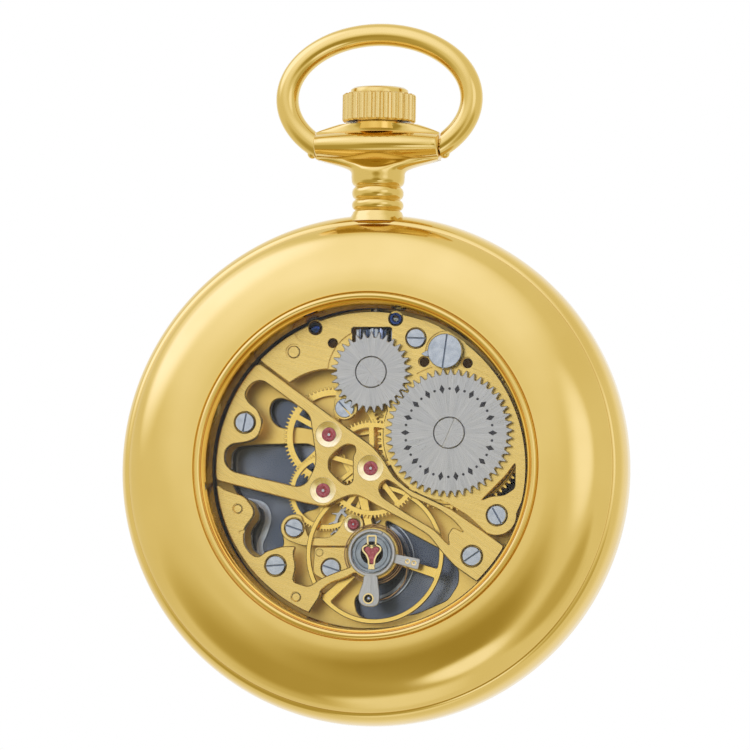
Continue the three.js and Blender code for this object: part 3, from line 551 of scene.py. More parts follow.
def laid_along_y(mesh, x=0.0, z=0.0):
    """Turns a body made about z so that it lies about y at that x and z."""
    mesh.transform(Matrix.Translation((x, 0, z)) @ Matrix.Rotation(-math.pi / 2, 4, "X"))
    return mesh


def laid_along_x(mesh, y=0.0, z=0.0):
    mesh.transform(Matrix.Translation((0, y, z)) @ Matrix.Rotation(math.pi / 2, 4, "Y"))
    return mesh


def carved(mesh, *cutters):
    """The mesh with the cutters taken out of it."""
    holder = bpy.data.objects.new("carved", mesh)
    bpy.context.scene.collection.objects.link(holder)
    tools = []
    for cutter in cutters:
        tool = bpy.data.objects.new("cutter", cutter)
        bpy.context.scene.collection.objects.link(tool)
        step = holder.modifiers.new("cut", "BOOLEAN")
        step.operation = "DIFFERENCE"
        step.solver = "EXACT"
        step.object = tool
        tools.append(tool)
    bpy.context.view_layer.update()
    result = bpy.data.meshes.new_from_object(holder.evaluated_get(bpy.context.evaluated_depsgraph_get()))
    for spent in (holder, *tools):
        bpy.data.objects.remove(spent)
    return result


def disc_cutter(place, radius, low, high, sides=64):
    return slab(circle(place, radius, sides), low, high, bevel=0.001)


def piece(name, parts, body, place=CENTRE, replaces=(), angle=32):
    """Joins (mesh, material) parts into one object at the place, riding on a body; upright walls of the
    brushed and frosted gilt get a darker gilt as painted shade.
    """
    work = bmesh.new()
    materials = []
    for mesh, material in parts:
        for wanted in (material, GILT_WALL_SHADE) if material in SHADE_WALLED_FINISHES else (material,):
            if wanted not in materials:
                materials.append(wanted)
        index = materials.index(material)
        wall = materials.index(GILT_WALL_SHADE) if material in SHADE_WALLED_FINISHES else index
        start = len(work.faces)
        work.from_mesh(mesh)
        work.faces.ensure_lookup_table()
        for face in work.faces[start:]:
            # upright walls of these gilt finishes take the darker gilt: painted shade
            upright = material in SHADE_WALLED_FINISHES and abs(face.normal.z) < 0.3
            face.material_index = wall if upright else index
    joined = bpy.data.meshes.new(name)
    work.to_mesh(joined)
    work.free()
    joined.transform(Matrix.Scale(MM, 4))
    for material in materials:
        joined.materials.append(material)
    joined.shade_smooth()
    joined.set_sharp_from_angle(angle=math.radians(angle))
    made = bpy.data.objects.new(name, joined)
    bpy.context.scene.collection.objects.link(made)
    made.matrix_world = UPRIGHT @ Matrix.Translation((place[0] * MM, place[1] * MM, 0))
    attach(made, body)
    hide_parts(*replaces)
    return made


def curve_through(points, steps=6):
    """Catmull-Rom points through a list of equal-length tuples."""
    result = []
    last = len(points) - 1
    for i in range(last):
        a, b, c, d = (Vector(points[min(max(i + k, 0), last)]) for k in (-1, 0, 1, 2))
        for j in range(steps):
            t = j / steps
            spot = 2 * b + (c - a) * t + (2 * a - 5 * b + 4 * c - d) * t * t
            result.append(tuple((spot + (3 * b - a - 3 * c + d) * t ** 3) / 2))
    result.append(tuple(points[last]))
    return result


# ---- case ---------------------------------------------------------------------------------------------
CASE_SIDES = 256


def case_band():
    outside = curve_through([(23.96, 3.38), (24.3, 3.12), (24.72, 2.3), (24.96, 1.1), (25.0, 0),
                             (24.96, -1.1), (24.72, -2.3), (24.3, -3.12), (23.96, -3.38)])
    profile = [(23.2, 3.38), *outside, (23.2, -3.38)]
    piece("band", [(revolved(profile, CASE_SIDES, closed=True), GOLD)],
          "case", replaces=["case_band"])


def back_cover():
    crown_of_cover = curve_through([(17.02, 6.36), (18.2, 6.33), (19.6, 6.15), (21.2, 5.68),
                                    (22.5, 5.0), (23.35, 4.2), (23.8, 3.62)])
    inside = [(23.86, 3.43), (23.2, 3.43), (20.5, 5.0), (16.7, 5.1), (16.7, 5.7)]
    step = [(16.96, 6.22), (16.88, 6.2)]
    bead = [(16.55 + 0.3 * math.cos(math.radians(a)), 6.26 + 0.32 * math.sin(math.radians(a)))
            for a in range(-10, 181, 15)]
    cover = [(16.2, 5.7), (16.2, 6.3), *reversed(bead), *step, *crown_of_cover, *inside]
    lip = [(16.22, 5.7), (16.22, 6.32), (16.12, 6.44), (15.98, 6.42), (15.86, 6.28), (15.82, 5.7)]
    piece("back_cover_shell",
          [(revolved(cover, CASE_SIDES, closed=True), GOLD),
           (revolved(lip, CASE_SIDES, closed=True), LIP_GOLD)],
          "case", replaces=["back_cover"])


def front_bezel():
    outside = curve_through([(24.3, -3.46), (24.33, -4.0), (23.9, -4.85), (23.0, -5.55),
                             (22.3, -5.78), (21.75, -5.72)])
    inside = [(21.3, -5.45), (21.25, -4.97), (21.85, -4.95), (21.85, -4.2), (23.1, -3.46)]
    piece("bezel", [(revolved([*outside, *inside], CASE_SIDES, closed=True), GOLD)],
          "case", replaces=["front_bezel"])


def front_crystal():
    dome = [(21.1 * math.sin(a), -5.4 - 0.35 * (math.cos(a * 1.4) - math.cos(1.4 * math.pi / 2)) / 1.59)
            for a in (math.pi / 2 * (1 - i / 20) for i in range(21))]
    profile = [(0, -4.3), (21.7, -4.3), (21.7, -4.85), (21.15, -4.9), *dome]
    piece("crystal", [(revolved(profile, CASE_SIDES), GLASS)], "case",
          replaces=["front_crystal"])


def back_glass():
    profile = [(0, 5.16), (16.5, 5.16), (16.55, 5.22), (16.55, 5.6), (16.5, 5.66), (0, 5.66)]
    piece("window_glass", [(revolved(profile, CASE_SIDES), GLASS)], "case",
          replaces=["back_window_glass"])


def inner_ring():
    # the low ring behind the gold wall is near-black: painted shade of the gap round the movement
    low_ring = [(16.02, -2.03), (16.02, 2.58), (23.05, 2.58), (23.05, -2.03)]
    wall = [(15.62, 3.2), (15.6, 3.3), (16.3, 4.75), (16.45, 5.03), (16.6, 5.03), (16.95, 2.5),
            (16.1, 2.5)]
    parts = [(revolved(low_ring, CASE_SIDES, closed=True), GAP_PAINTED_SHADE),
             (revolved(wall, CASE_SIDES, closed=True), WALL_GOLD)]
    piece("inner_ring", parts, "case", replaces=["movement_ring"])


# ---- pendant, bow and crown ---------------------------------------------------------------------
def pendant():
    """Beaded neck under a head made of an oval block with a barrel across its face."""
    def bead(low, high, width=2.53):
        tall = high - low
        return [(low + tall * share, width - dip, width - dip - 0.05)
                for share, dip in ((0, 0.32), (0.14, 0.14), (0.32, 0.03), (0.5, 0), (0.68, 0.03),
                                   (0.86, 0.14))]

    sections = curve_through([
        (24.2, 3.15, 2.7), (24.6, 2.75, 2.5), (24.95, 2.5, 2.4), (25.2, 2.4, 2.3),
        *bead(25.35, 26.42), *bead(26.42, 27.7), (27.7, 2.22, 2.2), (27.86, 2.42, 2.35),
        (28.15, 2.57, 2.5), (28.6, 2.62, 2.55), (29.1, 2.66, 2.6), (29.4, 3.0, 2.5), (29.75, 3.9, 2.2),
        (30.1, 5.1, 1.85), (30.38, 5.98, 1.65), (30.5, 6.06, 1.6), (31.7, 6.08, 1.6), (32.9, 6.06, 1.6),
        (33.05, 5.95, 1.6), (33.45, 5.0, 1.7), (33.8, 4.0, 1.9)], steps=4)
    half = [math.cos(math.pi * i / 28) for i in range(29)]

    def ring(y, width, depth):
        fullness = min(1.0, max(0.0, (width - 3) / 3))
        edge = []
        for u in half:
            ellipse = math.sqrt(max(0, 1 - u * u))
            edge.append((u, (1 - fullness) * ellipse + fullness * (1 - 0.45 * u * u)))
        front = [(width * u, y, STEM_Z + depth * h) for u, h in edge]
        back = [(width * u, y, STEM_Z - depth * h) for u, h in reversed(edge)]
        return front + back

    rings = [ring(*section) for section in sections]
    last = rings[-1]
    for drop in (0, 0.5):
        rings.append([(x * 0.8, 33.9 - drop, STEM_Z + (z - STEM_Z) * 0.8) for x, _, z in last])
    count = len(rings[0])
    points = [point for ring_points in rings for point in ring_points]
    faces = []
    for i in range(len(rings) - 1):
        for j in range(count):
            k = (j + 1) % count
            faces.append((i * count + j, i * count + k, (i + 1) * count + k, (i + 1) * count + j))
    faces.append(tuple(range(count)))
    faces.append(tuple(range(len(points) - count, len(points))))
    body = raw_mesh(points, faces)
    sleeve = laid_along_y(revolved([(1.3, 33.3), (2.3, 33.3), (2.3, 34.0), (1.3, 34.0)], 64, closed=True),
                          z=STEM_Z)
    ends = [(0, -6.09), (1.08, -6.09), (1.17, -6.03), (1.2, -5.95)]
    side = [(1.2 + 0.44 * (1 - (x / 5.9) ** 2), x) for x in (-5.9 + 11.8 * i / 32 for i in range(33))]
    barrel = revolved([*ends, *side, *((r, -x) for r, x in reversed(ends))], 96)
    barrel.transform(Matrix.Rotation(math.pi / 2, 4, "Y"))
    barrel.transform(Matrix.Translation((0, 31.7, STEM_Z)) @ Matrix.Diagonal((1, 1, 2.12, 1)))
    piece("pendant_neck", [(body, GOLD), (sleeve, LIP_GOLD), (tidy(barrel), GOLD)], "case",
          replaces=["pendant"], angle=40)


def bow():
    """An oval loop of round wire, cut off flat beside the pendant's head."""
    low, high = watch_box("bow")
    wire = 1.1
    cut_plane = 6.24
    half_width = (high.x - low.x) / 2 - wire
    top = high.y - wire
    pivot_x, pivot_y = 6.55, 31.0
    centre_y = 36.4
    half_height = top - centre_y
    start = math.asin((31.3 - centre_y) / half_height)
    angles = [start + (math.pi - 2 * start) * i / 160 for i in range(161)]
    path = [(half_width * math.cos(a), centre_y + half_height * math.sin(a), STEM_Z) for a in angles]
    head = [(-cut_plane, 28), (cut_plane, 28), (cut_plane, 34), (-cut_plane, 34)]
    loop = carved(swept(path, round_section(wire, 32)), slab(head, STEM_Z - 3, STEM_Z + 3, bevel=0.001))
    parts = [(loop, GOLD)]
    for side in (-1, 1):
        parts.append((ball((side * pivot_x, pivot_y, STEM_Z), 0.5), GOLD))
        pin = [(0, 5.3), (0.45, 5.3), (0.45, 6.4), (0, 6.4)]
        parts.append((laid_along_x(revolved([(r, side * x) for r, x in pin], 24), 32.0, STEM_Z), GOLD))
    piece("bow_wire", parts, "bow_loop", replaces=["bow"], angle=40)


def crown():
    low, high = watch_box("crown")
    flutes = 26
    outline = []
    for i in range(flutes):
        for step, radius in ((-0.36, 3.34), (-0.25, 3.5), (-0.12, 3.58), (0, 3.6), (0.12, 3.58),
                             (0.25, 3.5), (0.36, 3.34)):
            outline.append(polar_point(0, 0, radius, (i + step) * 360 / flutes))
    base = low.y
    grip = slab(outline, base, base + 2.75, holes=[circle((0, 0), 0.6, 24)], bevel=0.14)
    cap = [(0, high.y - 0.02), (1.8, high.y - 0.02), (2.55, high.y - 0.1), (2.8, high.y - 0.28),
           (2.85, base + 2.9), (2.85, base + 2.6), (0, base + 2.6)]
    parts = [(laid_along_y(grip, z=STEM_Z), CROWN_GOLD),
             (laid_along_y(revolved(cap, 96), z=STEM_Z), GOLD)]
    piece("crown_knob", parts, "stem", replaces=["crown"], angle=40)


# ---- plates and bridges -------------------------------------------------------------------------------
KIDNEY = [(-10.7, 5.9), (-10.4, 6.8), (-9.7, 7.1), (-8.9, 6.9), (-6.2, 5.4), (-6.1, 4), (-7.8, 4.3),
          (-9.4, 4.1), (-10.3, 4.7)]
LEFT_OPENING = [(-14.4, 0.2), (-14.4, 1.7), (-13.8, 2.3), (-12, 2.5), (-6.6, 2.6), (-5.2, 1.5),
                (-5.6, -3.7), (-6.6, -3.9), (-7.3, -4.3), (-8.9, -4.8), (-9.3, -5.9), (-9, -7.3),
                (-9.6, -8), (-10.9, -8.6), (-12.2, -7.8), (-12.4, -6), (-11.4, -4.6), (-12, -3.1),
                (-13.6, -2.5), (-14.2, -1.6)]
BALANCE_OPENING = [(1, -4.8), (6.9, -7.9), (8.3, -9.6), (8.3, -11), (7.3, -12.6), (4.4, -13.9),
                   (1.6, -14.5), (-0.4, -14.6), (-1.6, -14.1), (-1.9, -13), (-1.8, -12.4), (-0.8, -11.6),
                   (-0.8, -9.8), (1.6, -8.4)]
RIGHT_OPENING = [(14.3, 1), (14.3, -1.8), (13.3, -2.6), (11.9, -2.7), (12.6, -1.8), (13.6, -0.6)]
KEYLESS_SLOT = [(-2.1, 11.8), (2.1, 11.8), (2.1, 13.9), (1.5, 13.9), (1.5, 15.55), (-1.5, 15.55),
                (-1.5, 13.9), (-2.1, 13.9)]


def screw_place(node):
    """x, y, head radius and top of a screw, from its CAD box."""
    low, high = watch_box(node)
    return ((low.x + high.x) / 2, (low.y + high.y) / 2, (high.x - low.x) / 2, high.z)


def screw_hole(node, gap=0.09):
    x, y, radius, _ = screw_place(node)
    return circle((x, y), radius + gap, 48)


def boss(place, radius, low, high, chamfer=0.06):
    profile = [(0, low), (radius, low), (radius, high - chamfer), (radius - chamfer, high), (0, high)]
    return moved(revolved(profile, 64), *place)


def stud(place, radius, top):
    """A pressed-in pin end."""
    pin = [(0, top - 0.3), (radius, top - 0.3), (radius, top - 0.02), (radius - 0.1, top + 0.05),
           (0, top + 0.05)]
    return moved(revolved(pin, 40), *place)


def mainplate():
    openings = [softened(points, 0.5) for points in (KIDNEY, LEFT_OPENING, BALANCE_OPENING, RIGHT_OPENING)]
    openings.append(softened(KEYLESS_SLOT, 0.1))
    holes = [circle(place, 0.34, 24) for place in (THIRD, FOURTH)]
    plate = slab(circle(CENTRE, PLATE_RADIUS, 192), *PLATE, holes=openings + holes, bevel=0.08)
    parts = [(plate, GILT_LOW)]
    for node, radius, top in (
            ("train_bridge_screw_left", 1.2, BRIDGE[0]), ("train_bridge_screw_right", 1.2, BRIDGE[0]),
            ("barrel_bridge_screw_top", 1.1, BRIDGE[0]), ("barrel_bridge_screw_right", 1.1, BRIDGE[0]),
            ("balance_cock_screw", 1.2, COCK[0]), ("escape_bridge_screw", 0.68, LOW_BRIDGE[0]),
            ("pallet_bridge_screw", 0.68, LOW_BRIDGE[0]), ("case_screw", 0.9, BRIDGE[0])):
        x, y, _, _ = screw_place(node)
        parts.append((boss((x, y), radius, PLATE[1] - 0.1, top - 0.05), GILT_LOW))
    piece("lower_plate", parts, "case", replaces=["mainplate"])


def countersink(place, hole=0.70, wide=1.24, top=BRIDGE[1], deep=0.12):
    """The bright cup round a jewel."""
    profile = [(hole, top - deep - 0.2), (wide, top - deep - 0.2), (wide + 0.03, top),
               (wide, top + 0.014), (wide - 0.06, top - 0.005), (hole + 0.02, top - deep),
               (hole, top - deep - 0.01)]
    return moved(revolved(profile, 96, closed=True), *place)


def train_bridge():
    outline = [
        (-11.1, 10.2), (0.3, 2.05), (1.4, 0.7), (2.3, -0.8), (3.85, -2.05), (6.5, -3.25), (8.1, -4),
        (13.2, -7.45), *arc(CENTRE, BRIDGE_RADIUS, -30.5, -46, 14),
        (8.4, -9.5), (6.95, -7.9), (5.9, -6.55), (4, -5.4), (0.6, -3.6), (-0.6, -2.9), (-1.4, -2.6),
        (-2.2, -2.7), (-3.2, -3.15), (-4.4, -3.8), (-6.5, -3.4), (-15.2, -1.25),
        *arc(CENTRE, BRIDGE_RADIUS, 183, 139, 40)]
    window = [
        (-14.45, 0.5), (-14.4, 1.7), (-13.8, 2.3), (-12.1, 2.5), (-11.1, 3.05), (-10.7, 4.5),
        (-11.3, 5.8), (-12.1, 6.3), (-12.6, 7.2), (-11.9, 8.3), (-10.85, 8.6), (-6.3, 5.35), (-6, 4.8),
        (-5.4, 1), (-5.5, 0.1), (-6.3, -1.5), (-7.1, -1.85), (-13.7, -0.35)]
    keyhole = [
        (-3, 2), (-2.3, 2.35), (-1.6, 2.2), (-1.45, 1.7), (-1.75, 1.1), (-1.7, -1.3), (-2.3, -1.7),
        (-2.9, -1.35), (-4.1, -0.2), (-4.15, 0.8), (-3.7, 1.4)]
    long_slot = [
        (0.85, -2.1), (1.05, -1.45), (1.65, -1.1), (2.4, -1.55), (4, -2.75), (6.9, -4.05), (8.2, -5),
        (9.3, -6.2), (8.2, -5.7), (7.7, -6.5), (7.9, -7.5), (6.4, -5.95), (3.6, -4.35), (1.2, -2.8)]
    screws = ["train_bridge_screw_left", "train_bridge_screw_right"]
    jewels = [CENTRE, THIRD, FOURTH]
    holes = [softened(window, 0.55), softened(keyhole, 0.4), softened(long_slot, 0.3)]
    holes += [circle(place, 1.19, 64) for place in jewels] + [screw_hole(node) for node in screws]
    body = slab(softened(outline, 0.5), *BRIDGE, holes=holes, bevel=0.09)
    parts = [(body, GILT)] + [(countersink(place), CUP) for place in jewels]
    piece("upper_train_bridge", parts, "case", replaces=["train_bridge"])


TONGUE = (-2.62, 5.85)
CASE_SCREW_RECESS = (-6.1, 13.7)


def barrel_bridge():
    screw_boss = screw_place("barrel_bridge_screw_right")
    outline = [
        *arc(CENTRE, BRIDGE_RADIUS, 136.6, -12, 110),
        *arc(screw_boss[:2], 1.95, 5, -125, 24),
        (9.7, -4.6), (8.15, -3.68), (6.85, -2.95),
        *arc(BARREL, 6.55, -98, -200, 50),
        *arc(THIRD, 6.4, 27, 45, 8),
        *arc(TONGUE, 1.15, 35, -165, 24),
        *arc(THIRD, 6.4, 82, 128, 20)]
    right_gap = [(14.25, 0.6), (14.25, -1.9), (13.2, -2.6), (11.9, -2.7), (10.9, -3.15), (13.4, -0.6)]
    pinion_slot = [(-2.05, 11.9), (1.9, 11.9), (1.9, 13.6), (1.75, 13.75), (-1.9, 13.75), (-2.05, 13.6)]
    screws = ["barrel_bridge_screw_top", "barrel_bridge_screw_right", "setting_lever_screw"]
    holes = [softened(right_gap, 0.35), pinion_slot, circle((-3.9, 12.2), 0.45, 40),
             circle(BARREL, 1.3, 64)]
    holes += [screw_hole(node) for node in screws]
    body = slab(softened(outline, 0.35), *BRIDGE, holes=holes, bevel=0.06)
    floor = RECESS_FLOOR
    ledge = [(3.4, 15.4), (4.85, 14.5), (5.9, 13.6), (7.6, 13.9), (9, 13), (12, 12), (8, 15.8)]
    tools = [
        disc_cutter(BARREL, 6.72, floor, 4, 128), disc_cutter(CROWN_WHEEL, 4.4, floor - 0.03, 4, 96),
        disc_cutter(CASE_SCREW_RECESS, 1.72, 2.7, 4), disc_cutter(CLICK, 2.05, floor - 0.04, 4),
        slab(softened(ledge, 0.3), 2.9, 4, bevel=0.001),
        disc_cutter((5.1, 10.4), 0.55, 2.5, 4, 32), disc_cutter((9.35, 10.3), 0.6, 2.5, 4, 32),
        disc_cutter((-7.77, 11.34), 0.8, 2.9, 4, 40)]
    parts = [(carved(body, *tools), GILT_ACROSS)]
    parts.append((stud((-7.77, 11.34), 0.62, 3.0), GILT_ACROSS))
    # the floors of these holes and of the hole at (-3.9, 12.2) are dark brown: painted shade in the holes
    for place in ((5.1, 10.4), (9.35, 10.3)):
        parts.append((boss(place, 0.53, 2.45, 2.53), HOLE_PAINTED_SHADE))
    parts.append((boss((-3.9, 12.2), 0.42, 2.3, 2.4), HOLE_PAINTED_SHADE))
    parts += slotted_screw(TONGUE, 0.95, 3.2, -48)
    x, y, radius, _ = screw_place("case_screw")
    # a dark brown ring round the case screw: painted shade in its recess
    parts.append((slab(circle((x, y), radius + 0.14, 40), 2.6, 2.9, bevel=0.02), HOLE_PAINTED_SHADE))
    piece("upper_barrel_bridge", parts, "case", replaces=["barrel_bridge"])


def balance_cock():
    outline = [
        (-15, -1.7), (-14.4, -2.15), (-12.4, -2.8), (-11.5, -3.9), (-11.4, -4.6), (-12.4, -6),
        (-12.4, -7.4), (-11.6, -8.5), (-10.9, -8.75), (-10.2, -8.15), (-8.6, -7.65), (-7.2, -7.65),
        (-7.5, -8.3), (-7.2, -9.6), (-7.5, -11.1), (-5.9, -11.6), (-4.7, -10.75), (-2.8, -10),
        *arc(BALANCE, 2.55, 212, -132, 60),
        (-2.4, -10.75), (-3.8, -11.2), (-4.7, -11.95), (-4.8, -12.55),
        *arc(CENTRE, BRIDGE_RADIUS, 247.5, 186.5, 50)]
    holes = [circle(BALANCE, 0.98, 48), screw_hole("balance_cock_screw")]
    body = slab(softened(outline, 0.45), *COCK, holes=holes, bevel=0.09)
    studs = [(-13.03, -4.03), (-7.12, -12.6)]
    tools = [disc_cutter(place, 0.56, 2.95, 4, 40) for place in studs]
    groove = [(-12.9, -6.2), (-12.3, -6.05), (-12.25, -6.4), (-12.9, -6.5)]
    tools.append(slab(softened(groove, 0.12), 2.9, 4, bevel=0.001))
    parts = [(carved(body, *tools), GILT_ACROSS)]
    parts += [(stud(place, 0.46, 3.1), GILT_ACROSS) for place in studs]
    piece("upper_balance_cock", parts, "case", replaces=["balance_cock"])


def low_bridges():
    escape = [
        *arc((-7.73, -5.76), 1.35, 60, 250, 30),
        (-6.9, -7.5), (-2.4, -7.5),
        *arc(ESCAPE, 1.05, -75, 130, 30),
        (-3.5, -6.1), (-4.3, -6.7), (-6.3, -6.7)]
    body = slab(softened(escape, 0.4), *LOW_BRIDGE, bevel=0.05,
                holes=[screw_hole("escape_bridge_screw"), circle(ESCAPE, 0.8, 48)])
    cup = countersink(ESCAPE, hole=0.56, wide=0.82, top=LOW_BRIDGE[1], deep=0.1)
    piece("low_escape_bridge", [(body, GILT_ACROSS), (cup, CUP)], "case",
          replaces=["escape_bridge"])
    pallet = [(-5.7, -7.62), (-2.4, -7.62), (-2.1, -9), (-2.3, -10.2), (-4.6, -10.9), (-5.8, -10.2)]
    body = slab(softened(pallet, 0.35), *LOW_BRIDGE, bevel=0.05,
                holes=[screw_hole("pallet_bridge_screw")])
    pin = stud((-5.2, -8.15), 0.42, LOW_BRIDGE[1])
    piece("low_pallet_bridge", [(body, GILT_ACROSS), (pin, GILT_ACROSS)], "case",
          replaces=["pallet_bridge"])


# ---- screws and jewels -------------------------------------------------------------------------------
def slotted_screw(place, radius, top, slot_angle, steel=SCREW_STEEL, slot_width=0.17, depth=0.2,
                  thick=0.4, floor_look=SLOT_PAINTED_SHADOW):
    """A flat polished head with a chamfer and a slot: list of parts. The slot's floor is a thin sheet,
    dark blue-grey by default as painted shadow.
    """
    edge = 0.07
    profile = [(0, top - thick), (radius, top - thick), (radius, top - edge), (radius - edge, top),
               (0, top)]
    half = slot_width / 2
    reach = radius + 0.4
    slot = [(-reach, -half), (reach, -half), (reach, half), (-reach, half)]
    cutter = moved(slab(slot, top - depth, top + 1, bevel=0.001), turn=slot_angle)
    head = carved(revolved(profile, 72), cutter)
    inner = radius - 0.04
    # the floor sheet: with the default look it is painted shadow in the slot; the pale look is the steel's
    # own colour
    floor_slot = [(-inner, -half), (inner, -half), (inner, half), (-inner, half)]
    floor = moved(slab(floor_slot, top - depth - 0.02, top - depth + 0.02, bevel=0.004), turn=slot_angle)
    return [(moved(part, *place), material) for part, material in ((head, steel), (floor, floor_look))]


SLOT_ANGLES = {
    "train_bridge_screw_left": 80, "train_bridge_screw_right": 35, "barrel_bridge_screw_top": -2,
    "barrel_bridge_screw_right": -60, "balance_cock_screw": 4, "escape_bridge_screw": -18,
    "pallet_bridge_screw": -18,
}


def plate_screws():
    for node, slot_angle in SLOT_ANGLES.items():
        x, y, radius, top = screw_place(node)
        shank = revolved([(0, -0.8), (0.33, -0.8), (0.33, top - 0.35), (0, top - 0.35)], 24)
        parts = slotted_screw(CENTRE, radius, top, slot_angle) + [(shank, PLAIN_STEEL)]
        piece(node + "_head", parts, "case", place=(x, y), replaces=[node])


def blued_screws():
    """The setting lever's screw end and the round-headed case screw."""
    x, y, radius, top = screw_place("setting_lever_screw")
    cup = [(0.33, top - 0.3), (radius, top - 0.3), (radius, top - 0.06), (radius - 0.06, top), (0.4, top),
           (0.33, top - 0.1)]
    head = [(0, top - 0.4), (0.33, top - 0.4), (0.33, top - 0.12), (0.22, top - 0.03), (0, top)]
    shank = revolved([(0, -1.6), (0.33, -1.6), (0.33, top - 0.35), (0, top - 0.35)], 24)
    parts = [(revolved(cup, 48, closed=True), BLUED), (revolved(head, 40), GREY_STEEL),
             (shank, PLAIN_STEEL)]
    piece("setting_lever_screw_end", parts, "case", place=(x, y),
          replaces=["setting_lever_screw"])
    x, y, radius, top = screw_place("case_screw")
    dome = [(0, top - 0.4), (radius, top - 0.4), (radius, top - 0.25)]
    dome += [(radius * math.cos(math.radians(a)), top - 0.25 + 0.24 * math.sin(math.radians(a)))
             for a in range(10, 91, 10)]
    shank = revolved([(0, -0.8), (0.33, -0.8), (0.33, top - 0.35), (0, top - 0.35)], 24)
    piece("case_screw_head", [(revolved(dome, 48), BLUED), (shank, PLAIN_STEEL)], "case",
          place=(x, y), replaces=["case_screw"])


def jewels():
    for node, place, radius in (("center_jewel", CENTRE, 0.72), ("third_jewel", THIRD, 0.72),
                                ("fourth_jewel", FOURTH, 0.72), ("escape_jewel", ESCAPE, 0.54)):
        low, high = watch_box(node)
        top = high.z
        olive = [(0.12, low.z), (radius, low.z), (radius, top - 0.14), (radius - 0.05, top - 0.05),
                 (radius - 0.16, top), (0.46, top), (0.34, top - 0.03), (0.22, top - 0.1),
                 (0.12, top - 0.16)]
        # the pivot end is dark brown: painted shade in the jewel's hole
        pivot = [(0, low.z), (0.11, low.z), (0.11, top - 0.14), (0.07, top - 0.11), (0, top - 0.1)]
        parts = [(revolved(olive, 64, closed=True), RUBY), (revolved(pivot, 24), HOLE_PAINTED_SHADE)]
        piece(node + "_stone", parts, "case", place=place, replaces=[node])


# ---- winding work ------------------------------------------------------------------------------------
CROWN_TEETH, RATCHET_TEETH = 31, 50
CROWN_PHASE = 90
RATCHET_PHASE = mesh_phase(CROWN_WHEEL, BARREL, CROWN_TEETH, CROWN_PHASE, RATCHET_TEETH)


def winding_wheel(name, node, teeth, root, tip, phase, place, body, marks=()):
    low, high = 3.15, 3.6
    teeth_outline = gear(teeth, root, tip, phase, pointed=True)
    wheel = slab(teeth_outline, low, high, holes=[circle((0, 0), 1.54, 64)], bevel=0.05)
    piece(name, [(wheel, STEEL), *marks], body, place=place, replaces=[node])


def ornament_ring(inner, outer, count, level):
    """A plain pattern of lozenges and dots round a wheel."""
    middle = (inner + outer) / 2
    marks = []
    for i in range(count):
        turn = i * 360 / count
        if i % 2:
            mark = circle((middle, 0), 0.13, 20)
        else:
            mark = [(inner, 0), (middle, -0.26), (outer, 0), (middle, 0.26)]
        marks.append((moved(slab(mark, level - 0.03, level + 0.012, bevel=0.004), turn=turn), INK))
    return marks


def winding_wheels():
    ornament = ornament_ring(3.85, 4.75, 36, 3.6)
    winding_wheel("ratchet_disc", "ratchet_wheel", RATCHET_TEETH, 5.7, 6.25, RATCHET_PHASE, BARREL,
                  "ratchet", ornament)
    winding_wheel("crown_disc", "crown_wheel", CROWN_TEETH, 3.4, 3.96, CROWN_PHASE, CROWN_WHEEL,
                  "crown_gear")
    for name, node, place, body, slot_angle in (
            ("ratchet_core", "ratchet_screw", BARREL, "ratchet", 67),
            ("crown_core", "crown_wheel_screw", CROWN_WHEEL, "case", -51)):
        head = slotted_screw(CENTRE, 1.5, 3.61, slot_angle, STEEL, slot_width=0.22, depth=0.12,
                             floor_look=PALE_SLOT)
        shank = revolved([(0, 2.4), (0.33, 2.4), (0.33, 3.3), (0, 3.3)], 24)
        piece(name, head + [(shank, PLAIN_STEEL)], body, place=place, replaces=[node])
    parts = slotted_screw(CENTRE, 1.7, 3.94, 83, slot_width=0.16)
    parts.append((revolved([(0, 2.4), (0.33, 2.4), (0.33, 3.6), (0, 3.6)], 24), PLAIN_STEEL))
    piece("click_screw_head", parts, "case", place=CLICK, replaces=["click_screw"])


def click():
    """The pawl: a disc with a pointed ear at the left and a nose towards the ratchet's teeth."""
    outline = [*arc((0, 0), 1.4, -38, 168, 40), (-2.0, 0.0), (-2.4, -0.25), (-2.0, -0.5), (-1.38, -0.5),
               *arc((0, 0), 1.4, 205, 250, 8), (-0.1, -1.58), (0.25, -1.6), (0.5, -1.36), (1.05, -1.5),
               (1.2, -1.1)]
    plate = slab(softened(outline, 0.12), 3.24, 3.5, holes=[circle((0, 0), 0.42, 32)], bevel=0.04)
    piece("click_lever", [(plate, SCREW_STEEL)], "click_pawl", place=CLICK,
          replaces=["click"])


def click_spring():
    path = [(*polar_point(0, 0, 1.28, 190 + 160 * i / 40), 3.165) for i in range(41)]
    wire = swept(path, [(-0.11, -0.03), (0.11, -0.03), (0.11, 0.03), (-0.11, 0.03)])
    piece("click_spring_wire", [(wire, PLAIN_STEEL)], "case", place=CLICK,
          replaces=["click_spring"])


def keyless_work():
    teeth = slab(gear(15, 1.25, 1.9, 6), 12.2, 13.7, holes=[circle((0, 0), 0.58, 32)], bevel=0.05)
    piece("winding_pinion_teeth", [(laid_along_y(teeth, z=STEM_Z), SCREW_STEEL)], "winding",
          replaces=["winding_pinion"])
    stem = [(0, 8.02), (0.42, 8.02), (0.5, 8.1), (0.5, 13.85), (0.8, 13.85), (0.8, 14.25), (0.5, 14.25),
            (0.5, 14.95), (0.8, 14.95), (0.8, 15.3), (0.5, 15.3), (0.5, 35.5), (0, 35.5)]
    piece("stem_rod", [(laid_along_y(revolved(stem, 48), z=STEM_Z), PLAIN_STEEL)], "stem",
          replaces=["winding_stem"])


